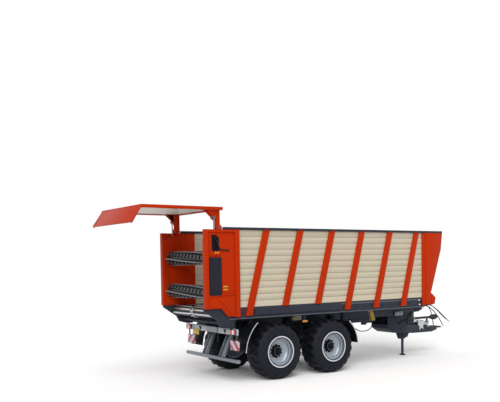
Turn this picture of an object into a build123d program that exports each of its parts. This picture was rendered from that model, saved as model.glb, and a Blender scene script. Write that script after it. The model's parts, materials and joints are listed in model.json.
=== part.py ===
from build123d import *
from math import atan2, cos, radians, sin, tan
import os

# A tandem silage trailer as a 1:32 scale model, in millimetres.
# X points forward, Y to the left, Z up. Sizes are given from the middle of the bogie,
# and every piece is moved at the end so that the origin is the middle of the box it fills.

# Running gear
WHEELBASE = 56.6
TRACK = 71.6
TYRE_R = 23.1
TYRE_W = 21.0
TYRE_BORE_R = 12.2
TYRE_SHOULDER = 4.2
SHOULDER_DROP = 1.3
SHOULDER_IN = 1.5
LUG_COUNT = 20
LUG_PITCH = 360 / LUG_COUNT
LUG_SPREAD = 0.45 * LUG_PITCH
LUG_H = 0.8
TREAD_SINK = 0.35
RIM_FLANGE_R = 13.1
RIM_LIP_IN = 1.0
RIM_WALL = 1.0
RIM_DISH = 8.0
RIM_GAP = 0.05
HUB_R = 3.6
HUB_PROUD = 3.4
HUB_LENGTH = 7.0
STUB_R = 1.5
CAP_R = 2.5
RUN_GAP = 0.1
AXLE_BEAM = 4.6
SPRING_Y = 16.6
SPRING_W = 3.2
SPRING_REACH = 21.0
LEAF_T = 0.9
LEAF_STEP = 5.0
LEAF_COUNT = 3
FENDER_T = 0.9
FENDER_LOW_ANGLE = 3
FRONT_FENDER_R = 27.2
FRONT_FENDER_TOP = 50
REAR_FENDER_R = 33.5
REAR_FENDER_TOP = 49

# Load body
BODY_HALF = 38.6
POST_PROUD = 1.8
WALL_T = 1.6
FLOOR_Z = 61.0
FLOOR_T = 1.8
WALL_TOP_Z = 123.6
RAIL_T = 2.0
RAIL_LIP = 0.6
RAIL_REAR_X = -76.0
REAR_EDGE_X = -94.6
REAR_PANEL_FRONT_X = -62.9
FRONT_PANEL_REAR_X = 147.5
FRONT_TOP_X = 175.1
SILL_W = 2.6
SILL_LOW_Z = 51.5
SILL_FRONT_X = 164.0
LEDGE_W = 1.2
LEDGE_L = 92.0
LEDGE_TOP_Z = 60.5
BOARD_COUNT = 12
BOARD_GROOVE = 0.55
POST_COUNT = 6
POST_PITCH = 35.0
POST_W = 6.0
POST_TOP_X = -35.5
POST_LOW_X = -53.9
POST_LOW_Z = 54.0

# Chassis
CHASSIS_Y = 13.0
CHASSIS_W = 4.0
CHASSIS_LOW_Z = 42.5
CHASSIS_TOP_Z = 52.5
CHASSIS_FRONT_X = 158.0
CHASSIS_TAPER = 18.0
CHASSIS_RISE = 3.5
BEARER_COUNT = 9
BEARER_W = 3.0

# Tailgate, raised as it stands
GATE_PIVOT_X = -81.0
GATE_PIVOT_Z = 125.0
GATE_GAP = 0.3
GATE_T = 2.4
GATE_LENGTH = 66.0
GATE_FRONT = 3.6
GATE_FLAP_DX = 8.3
GATE_FLAP_DZ = 11.3
GATE_FLAP_T = 0.96
GATE_FRAME_W = 3.4
GATE_ROOF_T = 0.8
GATE_SKIN_T = 0.8
GATE_ARM_Y = 34.4
GATE_ARM_W = 2.4
GATE_ARM_HALF = 2.4
GATE_ARM_GAP = 0.3
PIVOT_PIN_R = 1.1
EAR_R = 2.4
PIN_BACK = 3.5
PIN_UP = 8.0
GATE_CYL_X = -82.5
GATE_CYL_Z = 93.0
GATE_CYL_Y = 36.6
GATE_BARREL_L = 25.0
GATE_BARREL_R = 0.95
GATE_ROD_R = 0.5
GATE_EYE_HALF = 0.7
POCKET_OUT_Y = 37.7
POCKET_SKIN = 0.35
ROD_GAP = 0.05
ROD_EYE_R = 1.3
BASE_PIN_R = 0.7

# Beaters and scraper floor
CHOCK_LEFT_X = 120.1
CHOCK_RIGHT_X = 80.2
CHOCK_T = 1.5
CHOCK_GAP = 0.6
CHOCK_LOW_Z = 42.2
CHOCK_PLATE = 11.0
BEATER_X = -87.6
BEATER_Z = (101.5, 74.0)
BEATER_CORE_R = 4.0
BEATER_BARS = 4
BEATER_BAR_T = 1.1
BEATER_BAR_TWIST = 50
BEATER_TIP_R = 6.0
BEATER_HALF = 32.0
BEATER_SHAFT_R = 1.4
SHAFT_IN_WALL = 0.4
TINE_ROWS = 4
TINES_PER_ROW = 11
TINE_TWIST = 5.0
TINE_W = 3.2
TINE_T = 2.6
TINE_DROP = 0.6
DRUM_X = -82.1
DRUM_R = 4.2
SLAT_H = 0.6
SLAT_W = 1.5
SLAT_PITCH = 20.0
CHAIN_HALF = 2.2
WRAP_ANGLES = (70, 25, -20)

# Front guard and its flap
GUARD_LOW_X = 159.5
GUARD_LOW_Z = 65.2
GUARD_BEND_X = 170.4
GUARD_BEND_Z = 102.6
FLAP_TOP_X = 174.8
FLAP_TOP_Z = 125.0
GUARD_BAR_W = 2.4
GUARD_BAR_T = 1.6
GUARD_CROSS_SHARE = 0.56
GUARD_POST_Y = 5.0
GUARD_POST_W = 1.6
MESH_PITCH = 5.0
MESH_BAR = 0.6
FLAP_SIDE_GAP = 1.0
FLAP_PIN_R = 0.7
FLAP_EAR_R = 1.25
FLAP_EAR_W = 2.2
FLAP_LUG_Y = 1.45
FLAP_LUG_T = 0.8
FLAP_CYL_X = 170.4
FLAP_CYL_Z = 86.0
FLAP_PIN_X = 176.8
FLAP_PIN_Z = 116.7
FLAP_BARREL_L = 17.0
FLAP_BARREL_R = 1.2
FLAP_ROD_R = 0.6
FLAP_EYE_HALF = 0.9

# Drawbar and front end
DRAWBAR_REAR_X = 126.0
DRAWBAR_FRONT_X = 205.5
HANGER_FRONT_X = 156.0
DRAWBAR_HALF = 12.0
DRAWBAR_WAIST_HALF = 5.2
DRAWBAR_NOSE_HALF = 3.4
DRAWBAR_FLAT_Z = 27.6
PLATFORM_FRONT_X = 166.4
EYE_TIP_X = 213.7
EYE_Z = 25.9
EYE_T = 1.4
EYE_R = 4.0
EYE_BORE_R = 1.6
JACK_X = 157.6
JACK_TUBE = 4.6
JACK_LOW_Z = 17.0
JACK_TOP_Z = 47.0
JACK_LEG_R = 1.35
JACK_LEG_TOP_Z = 31.0
JACK_FOOT_R = 3.0
JACK_FOOT_T = 1.2
HEAD_REAR_X = 160.4
HEAD_FRONT_X = 167.0
HEAD_HALF = 7.5
HEAD_TOP_Z = 48.4
PTO_Z = 36.8
PTO_R = 1.2
PTO_FRONT_X = 206.0
PTO_YOKE_L = 2.6
DAMPER_Y = 3.6
DAMPER_R = 2.0
DAMPER_RIB_R = 2.5
DAMPER_RIBS = 3
HOLDER_REAR_X = 160.4
HOLDER_FRONT_X = 186.5
HOLDER_T = 2.4
HOLDER_HALF = 3.2
HOSE_D = 0.9
COUPLING_R = 0.8
COUPLING_L = 4.2

# Rear end
LIGHT_BAR_X = -67.6
LIGHT_BAR_T = 2.0
LIGHT_BAR_HALF = 42.0
LIGHT_BAR_LOW_Z = 39.0
LIGHT_BAR_H = 4.8
BOARD_IN_Y = 30.0
BOARD_OUT_Y = 43.0
BOARD_LOW_Z = 26.5
BOARD_H = 7.8
BUMPER_Z = 18.0
BUMPER_R = 1.6
BUMPER_HALF = 43.5
BUMPER_LEG_Y = 14.0
BUMPER_LEG_W = 6.0
BUMPER_LEG_D = 3.6
BUMPER_LEG_T = 0.8
BUMPER_LEG_LEAN = 11.5

# Places that follow from the sizes above
AXLE_X = (WHEELBASE / 2, -WHEELBASE / 2)
AXLE_NAMES = ("front", "rear")
WALL_OUT = BODY_HALF - POST_PROUD
WALL_IN = WALL_OUT - WALL_T
SILL_IN = WALL_OUT - SILL_W
FLOOR_LOW_Z = FLOOR_Z - FLOOR_T
DRUM_Z = FLOOR_Z - DRUM_R
GATE_INNER_Z = GATE_PIVOT_Z + (GATE_PIVOT_X - REAR_EDGE_X) + GATE_GAP
GATE_OUTER_Z = GATE_INNER_Z + GATE_T
GATE_BEND_X = GATE_PIVOT_X - GATE_LENGTH
GATE_TIP_X = GATE_BEND_X - GATE_FLAP_DX
ORIGIN_X = (GATE_TIP_X + EYE_TIP_X) / 2
FLAP_LEAN_X = cos(atan2(GATE_FLAP_DX - GATE_FLAP_T * 0.8, GATE_FLAP_DZ))
FLAP_LEAN_Z = sin(atan2(GATE_FLAP_DX - GATE_FLAP_T * 0.8, GATE_FLAP_DZ))
CHASSIS_REAR_X = LIGHT_BAR_X + LIGHT_BAR_T / 2
HUB_OUT_Y = TRACK / 2 + TYRE_W / 2 - RIM_DISH + HUB_PROUD
HUB_IN_Y = HUB_OUT_Y - HUB_LENGTH

# Each hose runs from the holder: (name, hand-picked points along it)
HOSE_ROUTES = (
    ("hose_1", ((186.5, 0.55, 50.1), (190.6, 0.6, 50.7), (195.6, 0.7, 50.7), (201.2, 0.9, 49.3),
                (207.2, 1.4, 46.4), (213.2, 2.0, 42.6), (219.0, 2.6, 38.4), (224.4, 3.2, 34.9))),
    ("hose_2", ((186.5, -0.55, 50.1), (190.6, -0.6, 50.5), (195.5, -0.7, 50.3),
                (200.8, -0.9, 48.8), (206.4, -1.2, 45.7), (211.8, -1.7, 41.6),
                (217.0, -2.2, 37.0), (222.0, -2.8, 33.2))),
    ("hose_3", ((186.5, 0.55, 49.0), (190.6, 0.65, 49.3), (195.0, 0.9, 49.0), (199.2, 1.6, 46.9),
                (202.9, 2.8, 43.4), (205.9, 4.2, 39.0), (208.3, 5.4, 34.2), (210.3, 6.2, 29.9))),
    ("hose_4", ((186.5, -0.55, 49.0), (190.6, -0.5, 49.2), (194.8, -0.45, 48.7),
                (198.8, -0.8, 46.4), (202.4, -1.9, 43.2), (205.8, -3.2, 39.0),
                (208.8, -4.2, 34.4), (211.4, -4.9, 30.2))),
)
BRAKE_ROUTE = (
    (134.5, 20.0, 34.0), (134.5, 20.0, 31.0), (132.9, 20.1, 28.2), (129.6, 20.3, 26.2),
    (124.6, 20.5, 25.3), (119.0, 20.6, 25.5), (113.8, 20.5, 27.2), (109.6, 20.3, 30.2),
    (106.8, 20.1, 34.2), (105.6, 20.0, 38.8), (105.6, 20.0, 43.5),
)


def block(x0, x1, y0, y1, z0, z1):
    middle = Pos((x0 + x1) / 2, (y0 + y1) / 2, (z0 + z1) / 2)
    return middle * Box(x1 - x0, y1 - y0, z1 - z0)


def side_plate(points, y0, y1):
    """An outline seen from the side, as (x, z) points, made thick from y0 to y1."""
    line = Polyline(*[(x, y0, z) for x, z in points], close=True)
    return extrude(make_face(line), amount=y1 - y0, dir=(0, 1, 0))


def top_plate(points, z0, z1):
    """An outline seen from above, as (x, y) points, made thick from z0 to z1."""
    line = Polyline(*[(x, y, z0) for x, y in points], close=True)
    return extrude(make_face(line), amount=z1 - z0, dir=(0, 0, 1))


def section(points, x0, x1):
    """An outline seen from behind, as (y, z) points, made long from x0 to x1."""
    line = Polyline(*[(x0, y, z) for y, z in points], close=True)
    return extrude(make_face(line), amount=x1 - x0, dir=(1, 0, 0))


def rod(start, end, radius, bore=0):
    axis = Vector(*end) - Vector(*start)
    ring = Circle(radius) - Circle(bore) if bore else Circle(radius)
    return extrude(Plane(origin=start, z_dir=axis) * ring, axis.length)


def disc(x, z, y0, y1, radius):
    return rod((x, y0, z), (x, y1, z), radius)


def both(left):
    return Part() + left + mirror(left, about=Plane.XZ)


def save(node, shape):
    export_step(Pos(-ORIGIN_X, 0, 0) * shape, f"parts/{node}.step")


def save_sides(node, left):
    save(f"{node}_left", left)
    save(f"{node}_right", mirror(left, about=Plane.XZ))


def lathe(outline):
    """A round shape about the Y axis, from (radius, y) points."""
    return revolve(make_face(Polyline(*[(r, y, 0) for r, y in outline], close=True)), Axis.Y)


def tread_ring(radius, y, turn):
    """Corners of a toothed ring: four for each lug, whose flat top is at the radius."""
    tip = radius / cos(radians(LUG_SPREAD / 2))
    root = tip - LUG_H
    points = []
    for i in range(LUG_COUNT):
        middle = turn + i * LUG_PITCH
        for angle, r in ((-LUG_SPREAD / 2, root), (-LUG_SPREAD / 2, tip),
                         (LUG_SPREAD / 2, tip), (LUG_SPREAD / 2, root)):
            a = radians(middle + angle)
            points.append((r * sin(a), y, r * cos(a)))
    return points


def between(ring_a, ring_b):
    """The solid with flat faces between two rings that have as many corners."""
    faces = [make_face(Polyline(*ring, close=True)).face() for ring in (ring_a, ring_b)]
    for i in range(len(ring_a)):
        corners = (ring_a[i - 1], ring_a[i], ring_b[i], ring_b[i - 1])
        faces.append(make_face(Polyline(*corners, close=True)).face())
    return Solid(Shell(faces))


def tyre(side):
    """A wide flotation tyre with a row of lugs on each half, set half a pitch apart."""
    half = TYRE_W / 2
    edge = half - TYRE_SHOULDER
    floor = TYRE_R - LUG_H - TREAD_SINK
    outline = [
        (TYRE_BORE_R, -half + 2.6),
        (TYRE_BORE_R + 1.6, -half + 0.9),
        (TYRE_R - TYRE_SHOULDER - 1.6, -half),
        (floor - SHOULDER_DROP, -half + SHOULDER_IN),
        (floor, -edge),
    ]
    outline += [(r, -y) for r, y in reversed(outline)]
    inside = disc(0, 0, -half, half, TYRE_BORE_R + 1.2)
    treads = []
    for hand, turn in ((1, 0), (-1, LUG_PITCH / 2)):
        middle = tread_ring(TYRE_R, 0, turn)
        shoulder = tread_ring(TYRE_R, hand * edge, turn)
        outer = tread_ring(TYRE_R - SHOULDER_DROP, hand * (half - SHOULDER_IN), turn)
        treads += [between(middle, shoulder) - inside, between(shoulder, outer) - inside]
    return Pos(0, side * TRACK / 2, 0) * lathe(outline).fuse(*treads)


def rim(side):
    """A dished disc wheel, its well closed by the disc, with a hub bored for the stub."""
    half = TYRE_W / 2
    bead = TYRE_BORE_R - RIM_GAP
    well = bead - RIM_WALL
    lip = half - RIM_LIP_IN
    face_y = half - RIM_DISH
    hub_y = face_y + HUB_PROUD
    bore = STUB_R + RUN_GAP
    wheel = lathe([
        (bead, -lip),
        (bead, lip - 0.9),
        (RIM_FLANGE_R, lip + 0.7),
        (RIM_FLANGE_R, lip + 1.0),
        (well, lip + 0.6),
        (well, face_y + 2.2),
        (bead - 3.2, face_y + 1.0),
        (HUB_R + 2.4, face_y),
        (HUB_R, face_y + 0.8),
        (HUB_R, hub_y),
        (bore, hub_y),
        (bore, hub_y - HUB_LENGTH),
        (HUB_R, hub_y - HUB_LENGTH),
        (HUB_R, face_y - RIM_WALL),
        (bead - 3.6, face_y - RIM_WALL),
        (well, face_y + 0.6),
        (well, -lip),
    ])
    if side < 0:
        wheel = mirror(wheel, about=Plane.XZ)
    return Pos(0, side * TRACK / 2, 0) * wheel


def save_wheels():
    for name, x in zip(AXLE_NAMES, AXLE_X):
        for hand, side in (("left", 1), ("right", -1)):
            place = Pos(x, 0, TYRE_R)
            save(f"tyre_{name}_{hand}", place * tyre(side))
            save(f"rim_{name}_{hand}", place * rim(side))


def axles():
    """Square beams with a round stub in each hub, a collar behind it and a cap outside."""
    half = AXLE_BEAM / 2
    shape = Part()
    for x in AXLE_X:
        end = HUB_IN_Y - 2.2
        shape += block(x - half, x + half, -end, end, TYRE_R - half, TYRE_R + half)
        collar = disc(x, TYRE_R, end, HUB_IN_Y - 0.2, CAP_R)
        stub = disc(x, TYRE_R, HUB_IN_Y - 0.2, HUB_OUT_Y + 0.2, STUB_R)
        cap = disc(x, TYRE_R, HUB_OUT_Y + 0.2, HUB_OUT_Y + 1.2, CAP_R)
        shape += both(collar + stub + cap)
    return shape


def springs():
    """Leaf packs clamped on both axles, and the hangers that bring them to the chassis."""
    y0 = SPRING_Y - SPRING_W / 2
    y1 = SPRING_Y + SPRING_W / 2
    low = TYRE_R + AXLE_BEAM / 2
    left = Part()
    for x in AXLE_X:
        for leaf in range(LEAF_COUNT):
            reach = SPRING_REACH - LEAF_STEP * (LEAF_COUNT - 1 - leaf)
            z = low + leaf * LEAF_T
            left += block(x - reach, x + reach, y0, y1, z, z + LEAF_T)
        left += block(x - 2.6, x + 2.6, y0, y1, low, low + LEAF_COUNT * LEAF_T + 1.0)
    top_leaf = low + (LEAF_COUNT - 1) * LEAF_T
    eye_top = top_leaf + 3.2
    gap = WHEELBASE / 2 - SPRING_REACH
    end = WHEELBASE / 2 + SPRING_REACH
    for x, half in ((-end, 2.4), (0.0, gap + 1.6), (end, 2.4)):
        left += block(x - half, x + half, y0, y1, top_leaf, eye_top)
        left += side_plate(
            [(x - half, eye_top), (x + half, eye_top), (x + 2.4, CHASSIS_LOW_Z + 5),
             (x - 2.4, CHASSIS_LOW_Z + 5)], y0, y1)
    return both(left)


def chassis():
    """Two long beams, tapered at the front, with cross bearers under the floor."""
    y0 = CHASSIS_Y - CHASSIS_W / 2
    y1 = CHASSIS_Y + CHASSIS_W / 2
    low = CHASSIS_LOW_Z
    beam = side_plate(
        [(CHASSIS_REAR_X, low), (CHASSIS_FRONT_X - CHASSIS_TAPER, low),
         (CHASSIS_FRONT_X, low + CHASSIS_RISE), (CHASSIS_FRONT_X, CHASSIS_TOP_Z),
         (CHASSIS_REAR_X, CHASSIS_TOP_Z)], y0, y1)
    shape = both(beam)
    first = CHASSIS_REAR_X + BEARER_W
    step = (CHASSIS_FRONT_X - 16 - first) / (BEARER_COUNT - 1)
    for i in range(BEARER_COUNT):
        x = first + i * step
        shape += block(x - BEARER_W / 2, x + BEARER_W / 2, -SILL_IN, SILL_IN,
                       CHASSIS_TOP_Z, FLOOR_LOW_Z)
    return shape


def floor():
    """The load floor, turned down round a drum at the rear end where it discharges."""
    plate = block(DRUM_X, CHASSIS_FRONT_X, -SILL_IN, SILL_IN, FLOOR_LOW_Z, FLOOR_Z)
    return plate + disc(DRUM_X, DRUM_Z, -SILL_IN, SILL_IN, DRUM_R)


def slats():
    """Scraper slats on the floor and round the drum, either side of a middle chain."""
    inner = CHAIN_HALF + 0.3
    outer = SILL_IN - 1.2
    left = Part()
    x = DRUM_X + 8.0
    while x < CHASSIS_FRONT_X - 8:
        left += block(x, x + SLAT_W, inner, outer, FLOOR_Z, FLOOR_Z + SLAT_H)
        x += SLAT_PITCH
    chain = block(DRUM_X, CHASSIS_FRONT_X - 4, -CHAIN_HALF, CHAIN_HALF, FLOOR_Z,
                  FLOOR_Z + SLAT_H)
    ring = disc(DRUM_X, DRUM_Z, -CHAIN_HALF, CHAIN_HALF, DRUM_R + SLAT_H)
    chain += ring - block(DRUM_X, DRUM_X + 2 * DRUM_R, -inner, inner, FLOOR_LOW_Z, FLOOR_Z)
    for turn in WRAP_ANGLES:
        slat = Pos(-DRUM_R, (inner + outer) / 2, 0) * Box(2 * SLAT_H, outer - inner, SLAT_W)
        left += Pos(DRUM_X, 0, DRUM_Z) * (Rot(0, turn, 0) * slat)
    shape = both(left) + chain
    return shape - disc(DRUM_X, DRUM_Z, -outer - 1, outer + 1, DRUM_R)


def side_sills():
    """The dark side sills under the boards, with a box ledge over the wheels."""
    rear_x = REAR_PANEL_FRONT_X - 10.0
    left = side_plate(
        [(rear_x, FLOOR_Z), (SILL_FRONT_X, FLOOR_Z), (SILL_FRONT_X, SILL_LOW_Z + 2.0),
         (FRONT_PANEL_REAR_X, SILL_LOW_Z), (REAR_PANEL_FRONT_X, SILL_LOW_Z),
         (rear_x, SILL_LOW_Z + 3.5)], SILL_IN, WALL_OUT)
    start = POST_LOW_X + POST_W
    left += section(
        [(WALL_OUT, SILL_LOW_Z + 2.2), (WALL_OUT + LEDGE_W, SILL_LOW_Z + 2.8),
         (WALL_OUT + LEDGE_W, LEDGE_TOP_Z - 1.0), (WALL_OUT, LEDGE_TOP_Z)],
        start, start + LEDGE_L)
    return both(left)


def side_wall():
    """Horizontal boards as one pressed wall with a groove at each joint."""
    pitch = (WALL_TOP_Z - FLOOR_Z) / BOARD_COUNT
    half = BOARD_GROOVE / 2
    outline = [(WALL_IN, FLOOR_Z), (WALL_OUT, FLOOR_Z)]
    for i in range(1, BOARD_COUNT):
        z = FLOOR_Z + i * pitch
        outline += [(WALL_OUT, z - half), (WALL_OUT - BOARD_GROOVE * 0.7, z),
                    (WALL_OUT, z + half)]
    outline += [(WALL_OUT, WALL_TOP_Z), (WALL_IN, WALL_TOP_Z)]
    return section(outline, REAR_PANEL_FRONT_X, FRONT_PANEL_REAR_X)


def side_posts():
    """Leaning outside posts; those over the wheels end on the ledge."""
    left = Part()
    half = POST_W / 2
    lean = (POST_TOP_X - POST_LOW_X) / (WALL_TOP_Z - POST_LOW_Z)
    ledge_end = POST_LOW_X + POST_W + LEDGE_L
    for i in range(POST_COUNT):
        top_x = POST_TOP_X + i * POST_PITCH
        low_x = POST_LOW_X + i * POST_PITCH
        on_ledge = POST_LOW_X + POST_W < low_x + half and low_x < ledge_end
        low_z = LEDGE_TOP_Z if on_ledge else POST_LOW_Z
        low_x = top_x - lean * (WALL_TOP_Z - low_z)
        left += side_plate(
            [(low_x - half, low_z), (low_x + half, low_z), (top_x + half, WALL_TOP_Z),
             (top_x - half, WALL_TOP_Z)], WALL_OUT, BODY_HALF)
    return both(left)


def top_rails():
    rail = block(RAIL_REAR_X, FRONT_TOP_X, WALL_IN - RAIL_LIP, BODY_HALF, WALL_TOP_Z,
                 WALL_TOP_Z + RAIL_T)
    return both(rail)


def front_panel():
    """The painted corner panel at the front, folded along its rear edge."""
    x0 = FRONT_PANEL_REAR_X
    edge = [(x0, WALL_TOP_Z), (FRONT_TOP_X, WALL_TOP_Z), (173.0, 107.4), (159.4, 66.9),
            (158.5, 65.5)]
    skin = side_plate(edge + [(165.3, 60.4), (164.0, 53.9), (x0, 53.4)], WALL_OUT, BODY_HALF)
    backing = side_plate(edge + [(158.5, FLOOR_Z), (x0, FLOOR_Z)], WALL_IN, WALL_OUT)
    fold = block(x0 - 1, x0 + 4.0, BODY_HALF - 0.8, BODY_HALF + 1, 50, WALL_TOP_Z + 1)
    return skin + backing - fold


def rear_panel():
    """The painted rear side panel, with the ear and the pocket of the tailgate's ram."""
    x0 = REAR_EDGE_X
    x1 = REAR_PANEL_FRONT_X
    px, pz = GATE_PIVOT_X, GATE_PIVOT_Z
    skin = side_plate(
        [(x0, WALL_TOP_Z), (x1, WALL_TOP_Z), (x1, 53.3), (x1 - 11.4, 54.7), (x1 - 17.0, 61.0),
         (x0, 61.0)], WALL_OUT, BODY_HALF)
    panel = skin + block(x0, x1, WALL_IN, WALL_OUT, FLOOR_Z, WALL_TOP_Z)
    arm_slot = side_plate(
        [(x0 - 1, pz - 10.2), (px - 12, pz - 7.6), (px - 6.6, pz - 5.8), (px - 5, pz - 3.2),
         (px + 3.0, pz - 3.2),
         (px + 3.0, pz + 5), (x0 - 1, pz + 5)], WALL_IN - 1, GATE_ARM_Y + GATE_ARM_W / 2 + 0.2)
    cx, cz = GATE_CYL_X, GATE_CYL_Z
    pocket = side_plate(
        [(cx - 1.9, cz - 1.8), (cx + 1.6, cz - 1.8), (cx + 1.6, pz + 1), (cx - 8.7, pz + 1),
         (cx - 8.7, cz + 25.5), (cx - 3.1, cz + 9.5)], WALL_IN + POCKET_SKIN, POCKET_OUT_Y)
    window = block(-88.2, -83.2, WALL_OUT, BODY_HALF + 1, 106.4, 119.4)
    panel -= arm_slot + pocket + window
    ear_in = GATE_ARM_Y + GATE_ARM_W / 2 + GATE_ARM_GAP
    ear = disc(px, pz, ear_in, BODY_HALF, EAR_R)
    ear += block(px - 0.2, px + EAR_R, ear_in, BODY_HALF, WALL_TOP_Z - 3.0, pz)
    panel += ear
    panel -= disc(px, pz, WALL_IN - 1, BODY_HALF - 0.5, PIVOT_PIN_R + RUN_GAP)
    for z in BEATER_Z:
        panel -= disc(BEATER_X, z, WALL_IN - 1, WALL_OUT + 0.2, BEATER_SHAFT_R + RUN_GAP)
    pin = disc(cx, cz, GATE_CYL_Y - GATE_EYE_HALF, POCKET_OUT_Y, BASE_PIN_R)
    return panel + pin


def drive_covers():
    """Covers of the beater and floor drives: upright on the right, leaning on the left."""
    proud = BODY_HALF + 1.3
    right = side_plate(
        [(-90.7, 71.5), (-80.6, 71.5), (-80.0, 72.1), (-80.0, 101.6), (-90.7, 101.6)],
        -proud, -BODY_HALF)
    left = side_plate(
        [(-91.2, 76.2), (-88.9, 80.6), (-84.2, 81.4), (-62.9, 54.8), (-64.6, 53.5),
         (-73.0, 54.8)], BODY_HALF, proud)
    return left + right


def rear_frame():
    """Dark cheeks and a cross pan under the rear end of the floor."""
    front_x = REAR_PANEL_FRONT_X - 10.0
    cheek = side_plate(
        [(REAR_EDGE_X, FLOOR_Z), (REAR_EDGE_X, 59.5), (-82.0, 51.3), (-79.4, 46.6),
         (-72.0, 44.6), (CHASSIS_REAR_X, 44.6), (CHASSIS_REAR_X, SILL_LOW_Z),
         (REAR_PANEL_FRONT_X, SILL_LOW_Z), (front_x, SILL_LOW_Z + 3.5), (front_x, FLOOR_Z)],
        SILL_IN, WALL_OUT)
    pan = side_plate(
        [(-78.0, 49.0), (CHASSIS_REAR_X, 45.4), (CHASSIS_REAR_X, SILL_LOW_Z), (-76.0, 51.6)],
        -SILL_IN, SILL_IN)
    return both(cheek) + pan


def fender(x, direction, radius, top_angle):
    """A quarter mudguard round one wheel, with its strut up to the sill."""
    y0 = TRACK / 2 - TYRE_W / 2 + 0.5
    y1 = TRACK / 2 + TYRE_W / 2 - 0.5
    ring = Circle(radius + FENDER_T) - Circle(radius)
    reach = 2 * radius
    low, top = radians(FENDER_LOW_ANGLE), radians(top_angle)
    wedge = make_face(Polyline(
        (0, 0), (reach * cos(low), reach * sin(low)), (reach * cos(top), reach * sin(top)),
        close=True))
    plane = Plane(origin=(x, y0, TYRE_R), x_dir=(direction, 0, 0), z_dir=(0, -direction, 0))
    arc = extrude(plane * (ring & wedge), amount=y1 - y0, dir=(0, 1, 0))
    strut_angle = radians(top_angle - 3)
    top_x = x + direction * (radius + FENDER_T / 2) * cos(strut_angle)
    top_z = TYRE_R + radius * sin(strut_angle)
    strut = block(top_x - 1.2, top_x + 1.2, SILL_IN, WALL_OUT, top_z, SILL_LOW_Z)
    return arc + strut


def mudguards():
    front, rear = AXLE_X
    left = fender(front, 1, FRONT_FENDER_R, FRONT_FENDER_TOP)
    return both(left + fender(rear, -1, REAR_FENDER_R, REAR_FENDER_TOP))


def light_bar():
    half = LIGHT_BAR_T / 2
    return block(LIGHT_BAR_X - half, LIGHT_BAR_X + half, -LIGHT_BAR_HALF, LIGHT_BAR_HALF,
                 LIGHT_BAR_LOW_Z, LIGHT_BAR_LOW_Z + LIGHT_BAR_H)


def lamps():
    """Tail lamps and the blank number plate on the bar, and small side lamps."""
    x1 = LIGHT_BAR_X - LIGHT_BAR_T / 2
    low = LIGHT_BAR_LOW_Z + 0.8
    tail = block(x1 - 1.2, x1, 32.5, LIGHT_BAR_HALF - 0.6, low, low + 3.2)
    shape = both(tail) + block(x1 - 0.5, x1, 20.0, 30.0, low - 0.6, low + 2.6)
    for x in (-5.0, 78.0, 150.0):
        shape += both(block(x - 1.6, x + 1.6, SILL_IN + 1.0, WALL_OUT, SILL_LOW_Z - 1.6,
                            SILL_LOW_Z))
    return shape


def warning_boards():
    """Two square boards that hang under the ends of the light bar on short tabs."""
    x1 = LIGHT_BAR_X + LIGHT_BAR_T / 2
    top = BOARD_LOW_Z + BOARD_H
    board = block(x1 - 0.8, x1, BOARD_IN_Y, BOARD_OUT_Y, BOARD_LOW_Z, top)
    middle = (BOARD_IN_Y + BOARD_OUT_Y) / 2
    for y in (middle - 3.5, middle + 3.5):
        board += block(x1 - 0.8, x1, y - 0.7, y + 0.7, top, LIGHT_BAR_LOW_Z)
    return both(board)


def bumper():
    """A round under-run bar across the rear end."""
    return disc(LIGHT_BAR_X, BUMPER_Z, -BUMPER_HALF, BUMPER_HALF, BUMPER_R)


def bumper_legs():
    """Two channels, open to the rear, that lean forward from the bumper to the chassis."""
    y0 = BUMPER_LEG_Y - BUMPER_LEG_W / 2
    y1 = BUMPER_LEG_Y + BUMPER_LEG_W / 2
    rear = LIGHT_BAR_X - 0.9
    front = rear + BUMPER_LEG_D
    lean = BUMPER_LEG_LEAN
    leg = side_plate([(rear, BUMPER_Z), (front, BUMPER_Z), (front + lean, CHASSIS_LOW_Z),
                      (rear + lean, CHASSIS_LOW_Z)], y0, y1)
    inside = front - BUMPER_LEG_T
    leg -= side_plate([(rear - 1, BUMPER_Z), (inside, BUMPER_Z), (inside + lean, CHASSIS_LOW_Z),
                       (rear + lean - 1, CHASSIS_LOW_Z)], y0 + BUMPER_LEG_T, y1 - BUMPER_LEG_T)
    leg -= disc(LIGHT_BAR_X, BUMPER_Z, y0 - 1, y1 + 1, BUMPER_R)
    return both(leg)


def slope_plane(x, z, top_x, top_z):
    """A plane whose X runs to the left and whose Y runs up the slope."""
    up = Vector(top_x - x, 0, top_z - z)
    normal = Vector(0, 1, 0).cross(up)
    return Plane(origin=(x, 0, z), x_dir=(0, 1, 0), z_dir=normal)


GUARD_PLANE = slope_plane(GUARD_LOW_X, GUARD_LOW_Z, GUARD_BEND_X, GUARD_BEND_Z)
GUARD_SLOPE = Vector(GUARD_BEND_X - GUARD_LOW_X, 0, GUARD_BEND_Z - GUARD_LOW_Z).length
GUARD_LENGTH = GUARD_SLOPE - FLAP_EAR_R - 0.4
FLAP_START = FLAP_EAR_R + 0.3
FLAP_PLANE = slope_plane(GUARD_BEND_X, GUARD_BEND_Z, FLAP_TOP_X, FLAP_TOP_Z)
FLAP_PLANE = FLAP_PLANE * Pos(0, FLAP_START, 0)
FLAP_LENGTH = Vector(FLAP_TOP_X - GUARD_BEND_X, 0, FLAP_TOP_Z - GUARD_BEND_Z).length
FLAP_LENGTH -= FLAP_START
FLAP_EYE = Plane(FLAP_PLANE).to_local_coords(Vector(FLAP_PIN_X, 0, FLAP_PIN_Z))
FLAP_LUG_AT = FLAP_EYE.Y
FLAP_LUG_DROP = FLAP_EYE.Z


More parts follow.
